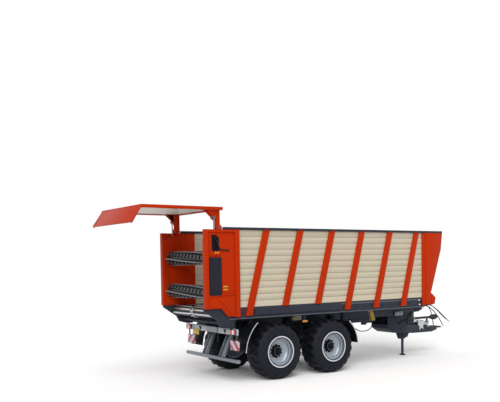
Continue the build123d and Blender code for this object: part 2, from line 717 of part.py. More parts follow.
def screen(half, length):
    """A frame of flat bars round a sloping panel, with two uprights near its middle."""
    outer = Pos(0, length / 2) * Rectangle(2 * half, length)
    inner = Pos(0, length / 2) * Rectangle(2 * (half - GUARD_BAR_W), length - 2 * GUARD_BAR_W)
    sketch = outer - inner
    for side in (1, -1):
        sketch += Pos(side * GUARD_POST_Y, length / 2) * Rectangle(GUARD_POST_W, length - 1)
    return sketch


def wire_mesh(plane, half, length):
    """A square wire mesh that fills the frame, behind its uprights."""
    half -= GUARD_BAR_W
    length -= 2 * GUARD_BAR_W
    across = int(2 * half / MESH_PITCH)
    up = int(length / MESH_PITCH)
    step_y = length / (up + 1)
    step_x = 2 * half / (across + 1)
    sketch = Sketch()
    for i in range(1, across + 1):
        sketch += Pos(-half + i * step_x, length / 2) * Rectangle(MESH_BAR, length)
    for j in range(1, up + 1):
        sketch += Pos(0, j * step_y) * Rectangle(2 * half, MESH_BAR)
    return extrude(plane * Pos(0, GUARD_BAR_W, 0) * sketch, amount=-MESH_BAR)


def guard_frame():
    sketch = screen(WALL_IN, GUARD_LENGTH)
    sketch += Pos(0, GUARD_LENGTH * GUARD_CROSS_SHARE) * Rectangle(2 * WALL_IN - 2, GUARD_BAR_W)
    frame = extrude(GUARD_PLANE * sketch, amount=GUARD_BAR_T)
    x, z = FLAP_CYL_X, FLAP_CYL_Z
    outer = FLAP_LUG_Y + FLAP_LUG_T
    cheek = disc(x, z, FLAP_LUG_Y, outer, ROD_EYE_R)
    cheek += side_plate([(x - 4.8, z + 1.2), (x, z + ROD_EYE_R), (x, z - ROD_EYE_R),
                         (x - 4.8, z - 1.2)], FLAP_LUG_Y, outer)
    base_pin = disc(x, z, -outer, outer, BASE_PIN_R)
    ear = disc(GUARD_BEND_X, GUARD_BEND_Z, WALL_IN - FLAP_EAR_W, WALL_IN, FLAP_EAR_R)
    tab = Pos(WALL_IN - FLAP_EAR_W / 2, GUARD_SLOPE - 1.4) * Rectangle(FLAP_EAR_W, 2.8)
    ear += extrude(GUARD_PLANE * tab, amount=FLAP_EAR_R)
    ear -= disc(GUARD_BEND_X, GUARD_BEND_Z, WALL_IN - FLAP_EAR_W - 1, WALL_IN + 1,
                FLAP_PIN_R + RUN_GAP)
    return frame + both(cheek) + base_pin + both(ear)


def platform():
    """The dark front cross member with its step edge, under the guard."""
    front = PLATFORM_FRONT_X
    sink = GUARD_BAR_T * (GUARD_BEND_X - GUARD_LOW_X) / GUARD_SLOPE
    top = GUARD_LOW_Z - sink
    return side_plate(
        [(CHASSIS_FRONT_X, SILL_LOW_Z + 1.6), (front - 3.4, SILL_LOW_Z + 1.6), (front, 55.4),
         (front, 61.4), (front - 3.8, 61.4), (front - 4.6, top), (GUARD_LOW_X - 2.3, top),
         (GUARD_LOW_X - 2.3, FLOOR_Z), (CHASSIS_FRONT_X, FLOOR_Z)], -SILL_IN, SILL_IN)


def drawbar():
    """A flat box drawbar that narrows to the eye, hung from the chassis at its rear."""
    front = DRAWBAR_FRONT_X
    profile = side_plate(
        [(DRAWBAR_REAR_X, 30.0), (134, 25.2), (166, 22.8), (196, 21.8), (front, 23.6),
         (front, DRAWBAR_FLAT_Z), (186, DRAWBAR_FLAT_Z), (HEAD_FRONT_X + 2, 31.4),
         (166, 31.6), (DRAWBAR_REAR_X, 33.4)], -DRAWBAR_HALF, DRAWBAR_HALF)
    plan = top_plate(
        [(DRAWBAR_REAR_X, -DRAWBAR_HALF), (150, -DRAWBAR_HALF), (190, -DRAWBAR_WAIST_HALF),
         (front, -DRAWBAR_NOSE_HALF), (front, DRAWBAR_NOSE_HALF), (190, DRAWBAR_WAIST_HALF),
         (150, DRAWBAR_HALF), (DRAWBAR_REAR_X, DRAWBAR_HALF)], 10, 50)
    shape = profile & plan
    half = JACK_TUBE / 2
    shape -= block(JACK_X - half, JACK_X + half, -half, half, 10, 50)
    taper = CHASSIS_FRONT_X - CHASSIS_TAPER
    hanger = side_plate(
        [(DRAWBAR_REAR_X, 32.6), (HANGER_FRONT_X, 31.4),
         (HANGER_FRONT_X, CHASSIS_LOW_Z + CHASSIS_RISE * (HANGER_FRONT_X - taper) / CHASSIS_TAPER),
         (taper, CHASSIS_LOW_Z), (DRAWBAR_REAR_X, CHASSIS_LOW_Z)],
        CHASSIS_Y - CHASSIS_W / 2, DRAWBAR_HALF)
    stand = block(193.4, 194.6, -0.8, 0.8, DRAWBAR_FLAT_Z, PTO_Z - PTO_R - RUN_GAP)
    return shape + both(hanger) + stand


def tow_eye():
    """A flat tongue with a vertical bore for the towing pin."""
    z0 = EYE_Z - EYE_T / 2
    centre = EYE_TIP_X - EYE_R
    eye = rod((centre, 0, z0), (centre, 0, z0 + EYE_T), EYE_R)
    half = DRAWBAR_NOSE_HALF - 0.8
    tongue = block(DRAWBAR_FRONT_X, centre, -half, half, z0, z0 + EYE_T)
    return eye + tongue - rod((centre, 0, z0 - 1), (centre, 0, z0 + 3), EYE_BORE_R)


def headstock():
    """The upright black block between drawbar and chassis, which the shaft enters."""
    low = 31.6 + (33.4 - 31.6) * (166 - HEAD_REAR_X) / (166 - DRAWBAR_REAR_X)
    return side_plate(
        [(HEAD_REAR_X, low), (166, 31.6), (HEAD_FRONT_X, 31.6 - 0.2 / (HEAD_FRONT_X - 164)),
         (HEAD_FRONT_X, 46.0),
         (HEAD_FRONT_X - 1.0, HEAD_TOP_Z), (HEAD_REAR_X, HEAD_TOP_Z)], -HEAD_HALF, HEAD_HALF)


def pto_shaft():
    """The guarded drive shaft, laid on its stand, with a cone guard and a yoke."""
    front = PTO_FRONT_X
    tube = rod((HEAD_FRONT_X, 0, PTO_Z), (front - 7, 0, PTO_Z), PTO_R)
    bell = rod((HEAD_FRONT_X, 0, PTO_Z), (HEAD_FRONT_X + 3.2, 0, PTO_Z), PTO_R + 0.7)
    cone = revolve(
        make_face(Polyline((front - 8, 0, PTO_Z), (front - 8, 0, PTO_Z + PTO_R + 0.2),
                           (front - 4.4, 0, PTO_Z + 2.7), (front, 0, PTO_Z + 2.9),
                           (front, 0, PTO_Z), close=True)),
        Axis((0, 0, PTO_Z), (1, 0, 0)))
    yoke = rod((front, 0, PTO_Z), (front + PTO_YOKE_L, 0, PTO_Z), 1.7)
    return tube + bell + cone + yoke


def drawbar_cylinders():
    """Two ribbed suspension cylinders on the drawbar, held by a bracket in front."""
    rear = HEAD_FRONT_X + 0.3
    front = 189.0
    z0 = 34.6
    slope = (30.4 - z0) / (front - rear)
    left = rod((rear, DAMPER_Y, z0), (front - 0.2, DAMPER_Y, 30.4), DAMPER_R)
    pitch = (front - rear - 3.0) / DAMPER_RIBS
    for i in range(DAMPER_RIBS):
        x = rear + 1.6 + i * pitch
        z = z0 + slope * (x - rear)
        left += rod((x, DAMPER_Y, z), (x + pitch * 0.5, DAMPER_Y, z), DAMPER_RIB_R)
    bracket = section([(-5.0, DRAWBAR_FLAT_Z), (5.0, DRAWBAR_FLAT_Z), (6.4, 33.6), (3.2, 34.2),
                       (0, 32.4), (-3.2, 34.2), (-6.4, 33.6)], front, front + 1.6)
    return both(left) + bracket


def hose_holder():
    """The channel on the headstock that carries the hoses forward."""
    z0 = HEAD_TOP_Z
    x0 = HOLDER_REAR_X
    rail = side_plate([(x0, z0), (HOLDER_FRONT_X - 14, z0), (HOLDER_FRONT_X, z0 + 0.2),
                       (HOLDER_FRONT_X, z0 + HOLDER_T), (x0, z0 + HOLDER_T)],
                      -HOLDER_HALF, HOLDER_HALF)
    return rail


def cord_tube(points, diameter):
    """A tube of straight runs and tangent arcs along hand-picked points."""
    radii = []
    for a, b, c in zip(points, points[1:], points[2:]):
        run = Vector(*b) - Vector(*a)
        after = Vector(*c) - Vector(*b)
        turn = radians(run.get_angle(after))
        radii.append(0.45 * min(run.length, after.length) / tan(turn / 2))
    path = FilletPolyline(*points, radius=radii)
    start = Plane(origin=points[0], z_dir=Vector(*points[1]) - Vector(*points[0]))
    print("cord of", len(points), "points, radii", [round(r, 1) for r in radii])
    print("  length", round(path.length, 1))
    return sweep(start * Circle(diameter / 2), path)


def couplings():
    """The plain metal coupling on the end of each hose."""
    shape = Part()
    for _, points in HOSE_ROUTES:
        end = Vector(*points[-1])
        along = (end - Vector(*points[-2])).normalized()
        shape += rod(tuple(end), tuple(end + along * COUPLING_L), COUPLING_R)
    return shape


def oil_tank():
    """The dark tank with a rounded belly on the left chassis beam, and a hose bracket."""
    y0 = CHASSIS_Y + CHASSIS_W / 2
    tank = side_plate(
        [(119.5, 49.5), (138.5, 49.5), (138.5, 37.0), (136.0, 34.0), (123.0, 34.0),
         (119.5, 38.0)], y0, y0 + 11)
    clip = block(104.0, 107.2, y0, y0 + 6.4, 43.5, 46.0)
    return tank + clip


def hydraulic_valve():
    """A round valve body and its lever on the left chassis beam."""
    y0 = CHASSIS_Y + CHASSIS_W / 2
    plate = block(145.0, 153.0, y0, y0 + 1.6, 37.5, 49.0)
    body = disc(149.0, 40.6, y0 + 1.6, y0 + 5.6, 3.2)
    lever = rod((146.0, y0 + 3.0, 45.6), (156.4, y0 + 3.0, 44.2), 0.7)
    pivot = disc(147.6, 45.4, y0 + 1.6, y0 + 3.0, 0.9)
    return plate + body + lever + pivot


def wheel_chocks():
    """Yellow wheel chocks under the sills: side by side on the left, edge on at the right."""
    back, front = SILL_IN + 0.6, SILL_IN + 1.6
    left = block(CHOCK_LEFT_X - CHOCK_PLATE / 2, CHOCK_LEFT_X + CHOCK_PLATE / 2, back, front,
                 CHOCK_LOW_Z, SILL_LOW_Z)
    for x in (CHOCK_LEFT_X - 2.9, CHOCK_LEFT_X + 2.9):
        left += side_plate(
            [(x - 2.4, CHOCK_LOW_Z), (x + 2.4, CHOCK_LOW_Z), (x + 2.4, CHOCK_LOW_Z + 1.0),
             (x - 1.4, CHOCK_LOW_Z + 5.8), (x - 2.4, CHOCK_LOW_Z + 5.8)], front, front + 2.8)
    x1 = CHOCK_RIGHT_X + 2 * CHOCK_T + CHOCK_GAP
    right = block(CHOCK_RIGHT_X, x1, -front, -back, CHOCK_LOW_Z, SILL_LOW_Z)
    for x in (CHOCK_RIGHT_X, x1 - CHOCK_T):
        right += section(
            [(-front, CHOCK_LOW_Z), (-front - 3.0, CHOCK_LOW_Z), (-front - 3.0, CHOCK_LOW_Z + 1.0),
             (-front - 1.0, CHOCK_LOW_Z + 7.0), (-front, CHOCK_LOW_Z + 7.0)], x, x + CHOCK_T)
    return Part() + left + right


def jack_tube():
    """The square jack housing through the drawbar, with its gusset underneath."""
    half = JACK_TUBE / 2
    tube = block(JACK_X - half, JACK_X + half, -half, half, JACK_LOW_Z, JACK_TOP_Z)
    return tube - rod((JACK_X, 0, JACK_LOW_Z - 1), (JACK_X, 0, JACK_TOP_Z - 1),
                      JACK_LEG_R + RUN_GAP)


def jack_leg():
    leg = rod((JACK_X, 0, JACK_FOOT_T), (JACK_X, 0, JACK_LEG_TOP_Z), JACK_LEG_R)
    return leg + rod((JACK_X, 0, 0), (JACK_X, 0, JACK_FOOT_T), JACK_FOOT_R)


def beater_bars():
    """Flat bars along a roller that wind a little round it, before they are laid down."""
    sketch = Sketch()
    for i in range(BEATER_BARS):
        bar = Pos((BEATER_CORE_R - 0.6 + BEATER_TIP_R) / 2, 0) * Rectangle(
            BEATER_TIP_R - BEATER_CORE_R + 0.6, BEATER_BAR_T)
        sketch += Rot(0, 0, i * 360 / BEATER_BARS) * bar
    bars = []
    for face in sketch.faces():
        bars.append(Solid.extrude_linear_with_rotation(
            face, (0, 0, 0), (0, 0, 2 * BEATER_HALF), BEATER_BAR_TWIST))
    return bars


def beater(z):
    """A beater roller: core, shaft in both panels, winding bars, and tines between them."""
    roller = disc(BEATER_X, z, -BEATER_HALF, BEATER_HALF, BEATER_CORE_R)
    end = WALL_IN + SHAFT_IN_WALL
    shaft = disc(BEATER_X, z, -end, end, BEATER_SHAFT_R)
    tines = []
    step = (2 * BEATER_HALF - TINE_W) / (TINES_PER_ROW - 1)
    height = BEATER_TIP_R - BEATER_CORE_R + 0.6 - TINE_DROP
    for row in range(TINE_ROWS):
        for i in range(TINES_PER_ROW):
            y = -BEATER_HALF + TINE_W / 2 + i * step
            tine = Pos(0, y, BEATER_TIP_R - TINE_DROP - height / 2) * Box(
                TINE_T, TINE_W, height)
            turn = row * 360 / TINE_ROWS + i * TINE_TWIST
            tines.append(Pos(BEATER_X, 0, z) * (Rot(0, turn, 0) * tine))
    laid = Pos(BEATER_X, BEATER_HALF, z) * Rot(90, 0, 0)
    bars = [laid * bar for bar in beater_bars()]
    return (roller + shaft).fuse(*tines, *bars)


def tailgate_frame():
    """The raised tailgate: side arms, a rim round the panel, and the bent end flap."""
    half = BODY_HALF
    z0, z1 = GATE_INNER_Z, GATE_OUTER_Z
    px, pz = GATE_PIVOT_X, GATE_PIVOT_Z
    w = GATE_FRAME_W
    front = px + GATE_FRONT
    panel = block(GATE_BEND_X, front, -half, half, z0, z1)
    panel -= block(GATE_BEND_X + w, front - w, -half + w, half - w, z0 - 1, z1 - GATE_ROOF_T)
    tip_x, tip_z = GATE_TIP_X + GATE_FLAP_T * FLAP_LEAN_X, z0 - GATE_FLAP_DZ
    edge_z = tip_z + GATE_FLAP_T * FLAP_LEAN_Z
    top_x = GATE_TIP_X + (z1 - edge_z) * FLAP_LEAN_Z / FLAP_LEAN_X
    flap = side_plate(
        [(GATE_BEND_X, z0), (GATE_BEND_X + 1.0, z0), (GATE_BEND_X + 1.0, z1), (top_x, z1),
         (GATE_TIP_X, edge_z), (tip_x, tip_z)], -half, half)
    y0 = GATE_ARM_Y - GATE_ARM_W / 2
    y1 = GATE_ARM_Y + GATE_ARM_W / 2
    h = GATE_ARM_HALF
    arm = side_plate(
        [(px - h, pz), (px - h, pz + 5.6), (px - PIN_BACK - 1.4, pz + PIN_UP - 0.8),
         (px - PIN_BACK - 1.4, pz + PIN_UP + 1.4), (px - h - 6.6, z0), (px + h, z0),
         (px + h, pz)], y0, y1)
    arm += disc(px, pz, y0, y1, h)
    pin = disc(px, pz, y1, BODY_HALF - 0.7, PIVOT_PIN_R)
    return panel + flap + both(arm + pin)


def tailgate_skin():
    """The pale inner skin of the tailgate, inside its rim."""
    w = GATE_FRAME_W
    z1 = GATE_OUTER_Z - GATE_ROOF_T
    return block(GATE_BEND_X + w, GATE_PIVOT_X + GATE_FRONT - w, -BODY_HALF + w, BODY_HALF - w,
                 z1 - GATE_SKIN_T, z1)


def ram_line(base, eye):
    base = Vector(*base)
    eye = Vector(*eye)
    return base, eye, (eye - base).normalized()


def ram_barrel(line, length, radius, rod_r, half_w):
    """A cylinder barrel with an eye at its base and a bore for its rod."""
    base, _, along = line
    barrel = rod(tuple(base + along * 1.2), tuple(base + along * length), radius)
    bore = rod(tuple(base + along * 3.0), tuple(base + along * (length + 1)), rod_r + ROD_GAP)
    x, y, z = tuple(base)
    eye = disc(x, z, y - half_w, y + half_w, ROD_EYE_R)
    hole = disc(x, z, y - half_w - 1, y + half_w + 1, BASE_PIN_R + ROD_GAP)
    return barrel + eye - hole - bore


def ram_rod(line, start, radius, half_w):
    """A piston rod with the boss of its top eye."""
    base, eye, along = line
    x, y, z = tuple(eye)
    return rod(tuple(base + along * start), tuple(eye), radius) + disc(
        x, z, y - half_w, y + half_w, ROD_EYE_R)


GATE_RAM = ram_line((GATE_CYL_X, GATE_CYL_Y, GATE_CYL_Z),
                    (GATE_PIVOT_X - PIN_BACK, GATE_CYL_Y, GATE_PIVOT_Z + PIN_UP))
FLAP_RAM = ram_line((FLAP_CYL_X, 0, FLAP_CYL_Z), (FLAP_PIN_X, 0, FLAP_PIN_Z))


def flap_frame():
    """The upper part of the guard, which hinges forward, with lugs for its ram."""
    half = WALL_IN - FLAP_SIDE_GAP
    sketch = screen(half, FLAP_LENGTH)
    sketch += Pos(0, FLAP_LUG_AT) * Rectangle(2 * GUARD_POST_Y, GUARD_BAR_W)
    frame = extrude(FLAP_PLANE * sketch, amount=GUARD_BAR_T)
    lug = Pos(FLAP_EYE_HALF + 0.15 + FLAP_LUG_T / 2, FLAP_LUG_AT) * Rectangle(
        FLAP_LUG_T, 2 * ROD_EYE_R)
    frame += both(extrude(FLAP_PLANE * lug, amount=FLAP_LUG_DROP + ROD_EYE_R))
    outer = WALL_IN - FLAP_EAR_W - 0.2
    hinge = disc(GUARD_BEND_X, GUARD_BEND_Z, outer - 2.0, WALL_IN - 0.1, FLAP_PIN_R)
    tab = Pos(outer - 1.0, -FLAP_START / 2 + 0.6) * Rectangle(2.0, FLAP_START + 1.2)
    return frame + both(hinge + extrude(FLAP_PLANE * tab, amount=GUARD_BAR_T))


def main():
    os.makedirs("parts", exist_ok=True)
    save_wheels()
    save("axles", axles())
    save("springs", springs())
    save("chassis_frame", chassis())
    save("body_floor", floor())
    save("scraper_slats", slats())
    save("side_sills", side_sills())
    save_sides("side_wall", side_wall())
    save("side_posts", side_posts())
    save("top_rails", top_rails())
    save_sides("front_panel", front_panel())
    save_sides("rear_panel", rear_panel())
    save("drive_covers", drive_covers())
    save("rear_frame", rear_frame())
    save("mudguards", mudguards())
    save("light_bar", light_bar())
    save("lamps", lamps())
    save("warning_boards", warning_boards())
    save("underrun_bumper", bumper())
    save("bumper_legs", bumper_legs())
    save("front_platform", platform())
    save("guard_frame", guard_frame())
    save("guard_mesh", wire_mesh(GUARD_PLANE, WALL_IN, GUARD_LENGTH))
    save("drawbar", drawbar())
    save("tow_eye", tow_eye())
    save("headstock", headstock())
    save("pto_shaft", pto_shaft())
    save("drawbar_cylinders", drawbar_cylinders())
    save("hose_holder", hose_holder())
    for name, route in HOSE_ROUTES:
        save(name, cord_tube(route, HOSE_D))
    save("hose_couplings", couplings())
    save("brake_hose", cord_tube(BRAKE_ROUTE, HOSE_D))
    save("oil_tank", oil_tank())
    save("hydraulic_valve", hydraulic_valve())
    save("wheel_chocks", wheel_chocks())
    save("jack_tube", jack_tube())
    save("jack_leg", jack_leg())
    for name, z in zip(("upper", "lower"), BEATER_Z):
        save(f"beater_{name}", beater(z))
    save("tailgate_frame", tailgate_frame())
    save("tailgate_skin", tailgate_skin())
    save("tailgate_cylinders", both(ram_barrel(
        GATE_RAM, GATE_BARREL_L, GATE_BARREL_R, GATE_ROD_R, GATE_EYE_HALF)))
    save("tailgate_rods", both(ram_rod(GATE_RAM, GATE_BARREL_L - 2.0, GATE_ROD_R,
                                       GATE_EYE_HALF)))
    save("flap_frame", flap_frame())
    save("flap_mesh", wire_mesh(FLAP_PLANE, WALL_IN - FLAP_SIDE_GAP, FLAP_LENGTH))
    save("flap_cylinder", ram_barrel(
        FLAP_RAM, FLAP_BARREL_L, FLAP_BARREL_R, FLAP_ROD_R, FLAP_EYE_HALF))
    save("flap_rod", ram_rod(FLAP_RAM, FLAP_BARREL_L - 5.0, FLAP_ROD_R, FLAP_EYE_HALF))
    print("origin is", round(ORIGIN_X, 3), "ahead of the bogie")


main()
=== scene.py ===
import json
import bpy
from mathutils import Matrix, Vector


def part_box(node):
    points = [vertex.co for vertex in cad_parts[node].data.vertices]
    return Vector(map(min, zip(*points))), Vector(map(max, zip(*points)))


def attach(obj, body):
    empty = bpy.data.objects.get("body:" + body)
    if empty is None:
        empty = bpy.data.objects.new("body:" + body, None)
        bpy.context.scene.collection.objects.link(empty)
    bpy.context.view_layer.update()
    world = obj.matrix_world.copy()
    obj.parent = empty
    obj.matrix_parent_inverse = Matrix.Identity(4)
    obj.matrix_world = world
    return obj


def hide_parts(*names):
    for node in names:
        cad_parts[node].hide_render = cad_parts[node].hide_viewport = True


bl_info = {
    "name": "Silage trailer model",
    "version": (1, 0, 0),
    "blender": (4, 5, 0),
    "location": "View3D > Sidebar > Trailer",
    "description": "Gives a 1:32 tandem silage trailer its finishes, tread, trim, hoses and stage",
    "category": "Object",
}

from math import cos, pi, radians, sin, tau

import bmesh
import bpy
from mathutils import Matrix, Vector

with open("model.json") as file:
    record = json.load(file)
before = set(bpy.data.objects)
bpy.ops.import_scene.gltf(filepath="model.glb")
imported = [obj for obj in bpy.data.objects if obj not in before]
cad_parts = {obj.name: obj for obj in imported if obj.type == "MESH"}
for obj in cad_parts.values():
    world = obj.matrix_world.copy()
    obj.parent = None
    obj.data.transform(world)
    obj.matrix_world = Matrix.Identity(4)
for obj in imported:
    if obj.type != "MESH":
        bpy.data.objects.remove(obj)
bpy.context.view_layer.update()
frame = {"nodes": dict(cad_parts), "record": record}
MM = 0.001
RECORD = frame["record"]
SLOT_OF = {part["node"]: part["material_slot"] for part in RECORD["subparts"]}
BODY_OF = {node: body for body, nodes in RECORD["behaviour"]["bodies"].items() for node in nodes}
WHEELS = ("front_left", "front_right", "rear_left", "rear_right")
HANDS = ((1, "left"), (-1, "right"))

# Lengths in millimetres: the tyres' radius and bore, half the distance between the axles, the
# hubs' face outside the wheel's middle, the spacing of the posts, the walls' twelve boards and
# their lower edge, and the warning boards' top and the period of their stripes
TYRE_R = 23.1
TYRE_BORE = 12.2
HALF_BASE = 28.3
HUB_FACE = 2.5
POST_PITCH = 35.0
BOARD_PITCH = 62.6 / 12
WALL_LOW = 61.0
BOARD_TOP = 34.4
STRIPE_PERIOD = 9.0

# Angles in degrees between faces: over the first two, shading shows a sharp edge, and over the
# third an edge is rounded
SMOOTH_ANGLE = 38
LUG_SMOOTH_ANGLE = 30
BEVEL_ANGLE = 32

# How strongly a grain turns the light
GRAIN_STRENGTH = 0.5

# Vertices nearer than this, in metres, are one
SAME_PLACE = 1e-7

# The fitted camera: the photograph's size, the focal length and the view's centre in its
# pixels, the camera's yaw, pitch and roll in degrees, and its place in metres
PHOTO_WIDTH, PHOTO_HEIGHT = 500, 402
FOCAL_PX = 705.7
CENTRE_PX = (272.2, 288.2)
SENSOR_MM = 36
CAMERA_TURN = (55.29, -2.08, -0.81)
CAMERA_PLACE = (-0.3934, -0.5194, 0.0969)


def wheel_centre(wheel):
    low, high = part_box("tyre_" + wheel)
    return (low + high) / 2


# The middle of the bogie, which is the middle between the axles
BOGIE_X = (wheel_centre("front_left").x + wheel_centre("rear_left").x) / 2


def at(x, y, z):
    """A place in millimetres from the middle of the bogie, in metres in the shared frame."""
    return Vector((BOGIE_X + x * MM, y * MM, z * MM))


def linear(code):
    """An sRGB hex colour as linear red, green and blue."""
    parts = [int(code[i:i + 2], 16) / 255 for i in (1, 3, 5)]
    return tuple(c / 12.92 if c <= 0.04045 else ((c + 0.055) / 1.055) ** 2.4 for c in parts)


def colour_setting(name, code, text):
    return bpy.props.FloatVectorProperty(
        name=name, description=text, subtype="COLOR", size=3, min=0, max=1, default=linear(code))


def length_setting(name, mm, text):
    return bpy.props.FloatProperty(
        name=name, description=text, unit="LENGTH", subtype="DISTANCE", min=0, precision=5,
        default=mm * MM)


class TrailerColours(bpy.types.PropertyGroup):
    body: colour_setting("Body", "#C03208", "Paint of the posts, panels and tailgate")
    boards: colour_setting("Boards", "#D3C8AF", "Paint of the side boards")
    chassis: colour_setting("Chassis", "#33363F", "Paint of the chassis, sills and rails")
    rims: colour_setting("Rims", "#98A1AB", "Lacquer of the wheel discs")
    tyres: colour_setting("Tyres", "#12151E", "Rubber of the tyres")
    zinc: colour_setting("Zinc", "#C3C6C6", "Plated bars, pipes and cylinders")
    light_bar: colour_setting("Light bar", "#B6BABD", "Plastic of the rear light bar")
    signal_red: colour_setting("Signal red", "#C3202A", "Tail lamps")
    signal_white: colour_setting("Signal white", "#EDEDEA", "Clear lamps")
    yellow: colour_setting("Yellow", "#D0AE2C", "Blank plate and small marks")


class TrailerSizes(bpy.types.PropertyGroup):
    edge: length_setting("Edge", 0.16, "Rounding of painted sheet edges")
    lugs: bpy.props.IntProperty(
        name="Tread lugs", description="Lugs round each shoulder of a tyre", min=8, max=80,
        default=20)
    lug_height: length_setting("Lug height", 0.8, "Height of the lugs over the carcass")
    nuts: bpy.props.IntProperty(
        name="Wheel nuts", description="Nuts round each hub", min=4, max=16, default=10)
    wire_pitch: length_setting("Wire pitch", 1.25, "Spacing of the guard's wires")
    wire: length_setting("Wire", 0.34, "Thickness of the guard's wires")


def add_node(tree, kind, settings=None, inputs=None):
    """One node with its settings, and its inputs as values or as links from other sockets."""
    node = tree.nodes.new(kind)
    for key, value in (settings or {}).items():
        setattr(node, key, value)
    for key, value in (inputs or {}).items():
        if isinstance(value, bpy.types.NodeSocket):
            tree.links.new(value, node.inputs[key])
        else:
            node.inputs[key].default_value = value
    return node


def new_finish(name):
    """A new material, and its node tree with nothing in it."""
    material = bpy.data.materials.new(name)
    material.use_nodes = True
    material.node_tree.nodes.clear()
    return material, material.node_tree


def finished(material, inputs):
    """The material with one principled shader for its surface, given that shader's inputs."""
    tree = material.node_tree
    shader = add_node(tree, "ShaderNodeBsdfPrincipled", None, inputs)
    add_node(tree, "ShaderNodeOutputMaterial", None, {"Surface": shader.outputs[0]})
    return material


def rgba(colour, factor=1.0):
    return tuple(min(1.0, c * factor) for c in colour) + (1.0,)


def spots(tree, size_mm, detail=2.0):
    """Noise with spots of a size in the object's own millimetres."""
    place = add_node(tree, "ShaderNodeTexCoord")
    return add_node(tree, "ShaderNodeTexNoise", None, {
        "Vector": place.outputs["Object"], "Scale": 1 / (size_mm * MM),
        "Detail": detail}).outputs


def grained(tree, size_mm, depth_mm, detail=2.0):
    """The surface's direction under a fine grain of a size and a depth in millimetres."""
    return add_node(tree, "ShaderNodeBump", None, {
        "Height": spots(tree, size_mm, detail)["Fac"], "Distance": depth_mm * MM,
        "Strength": GRAIN_STRENGTH}).outputs[0]


def blotched(tree, colour, size_mm, spread):
    """The colour with soft lighter and darker areas, as hand-finished paint has. A mix node has
    its two colours at inputs 6 and 7 and their blend at output 2."""
    return add_node(tree, "ShaderNodeMix", {"data_type": "RGBA"}, {
        "Factor": spots(tree, size_mm)["Fac"], 6: rgba(colour, 1 - spread),
        7: rgba(colour, 1 + spread)}).outputs[2]


def sprayed_enamel(name, colour, roughness, coat):
    """Sprayed enamel on metal: an even coat with a faint orange peel 0.5 mm across, which
    breaks up the highlights, and a thin clear gloss over it. Its weak reflections are tinted,
    so that the saturated paint stays deep in a white room."""
    material, tree = new_finish(name)
    return finished(material, {
        "Base Color": blotched(tree, colour, 22, 0.035), "Roughness": roughness,
        "Specular IOR Level": 0.12, "Specular Tint": rgba(colour, 1 / max(colour)),
        "Coat Weight": coat, "Coat Roughness": 0.2, "Normal": grained(tree, 0.5, 0.012)})


def board_enamel(name, colour, pitch_mm, low_mm):
    """Satin enamel on pressed boards: matter than the orange, with painted shade in each joint and
    a painted highlight just above it that fades towards the board's middle, under faint random
    dust."""
    material, tree = new_finish(name)
    place = add_node(tree, "ShaderNodeTexCoord")
    split = add_node(tree, "ShaderNodeSeparateXYZ", None, {"Vector": place.outputs["Object"]})
    raised = add_node(tree, "ShaderNodeMath", {"operation": "SUBTRACT"},
                      {0: split.outputs["Z"], 1: (low_mm - pitch_mm / 2) * MM})
    boards = add_node(tree, "ShaderNodeMath", {"operation": "DIVIDE"},
                      {0: raised.outputs[0], 1: pitch_mm * MM})
    within = add_node(tree, "ShaderNodeMath", {"operation": "FRACT"}, {0: boards.outputs[0]})
    ramp = add_node(tree, "ShaderNodeValToRGB", None, {"Fac": within.outputs[0]})
    stops = ramp.color_ramp.elements
    stops[0].position, stops[0].color = 0.0, rgba(colour)
    stops[1].position, stops[1].color = 1.0, rgba(colour, 0.95)
    # Painted shade in each joint, and a painted highlight on the board just above it
    for position, shade in ((0.43, 1.0), (0.485, 0.62), (0.515, 0.58), (0.58, 1.05)):
        stops.new(position).color = rgba(colour, shade)
    # Random dust laid over the painted shade and highlight of the boards
    dusty = add_node(tree, "ShaderNodeMix", {"data_type": "RGBA", "blend_type": "MULTIPLY"}, {
        "Factor": 0.09, 6: ramp.outputs["Color"], 7: spots(tree, 30)["Color"]})
    return finished(material, {
        "Base Color": dusty.outputs[2], "Roughness": 0.48, "Coat Weight": 0.08,
        "Normal": grained(tree, 0.6, 0.012)})


def moulded_rubber(name, colour):
    """Moulded tyre rubber: nearly black, dull, with a fine pitted skin 0.25 mm across and paler
    dusty areas on the walls."""
    material, tree = new_finish(name)
    dusty = add_node(tree, "ShaderNodeMix", {"data_type": "RGBA"}, {
        "Factor": spots(tree, 7, 4.0)["Fac"], 6: rgba(colour, 0.75), 7: rgba(colour, 1.3)})
    return finished(material, {
        "Base Color": dusty.outputs[2], "Roughness": 0.6, "Specular IOR Level": 0.2,
        "Normal": grained(tree, 0.25, 0.03)})


def zinc_plate(name, colour, roughness):
    """Zinc-plated steel: a metal with a soft sheen, its grain drawn along the bars at 0.4 mm,
    coarser than the real one so that it shows."""
    material, tree = new_finish(name)
    place = add_node(tree, "ShaderNodeTexCoord")
    grain_mm = (10 / 3, 0.4, 0.4)
    drawn = add_node(tree, "ShaderNodeMapping", None, {
        "Vector": place.outputs["Object"], "Scale": [1 / (size * MM) for size in grain_mm]})
    grain = add_node(tree, "ShaderNodeTexNoise", None,
                     {"Vector": drawn.outputs[0], "Scale": 1.0, "Detail": 2.0})
    wear_and_highlight = add_node(tree, "ShaderNodeMapRange", None, {
        "Value": grain.outputs["Fac"], "To Min": roughness - 0.08, "To Max": roughness + 0.12})
    relief = add_node(tree, "ShaderNodeBump", None, {
        "Height": grain.outputs["Fac"], "Distance": 0.008 * MM, "Strength": GRAIN_STRENGTH})
    return finished(material, {
        "Base Color": blotched(tree, colour, 5, 0.06), "Metallic": 1.0,
        "Roughness": wear_and_highlight.outputs[0], "Normal": relief.outputs[0]})


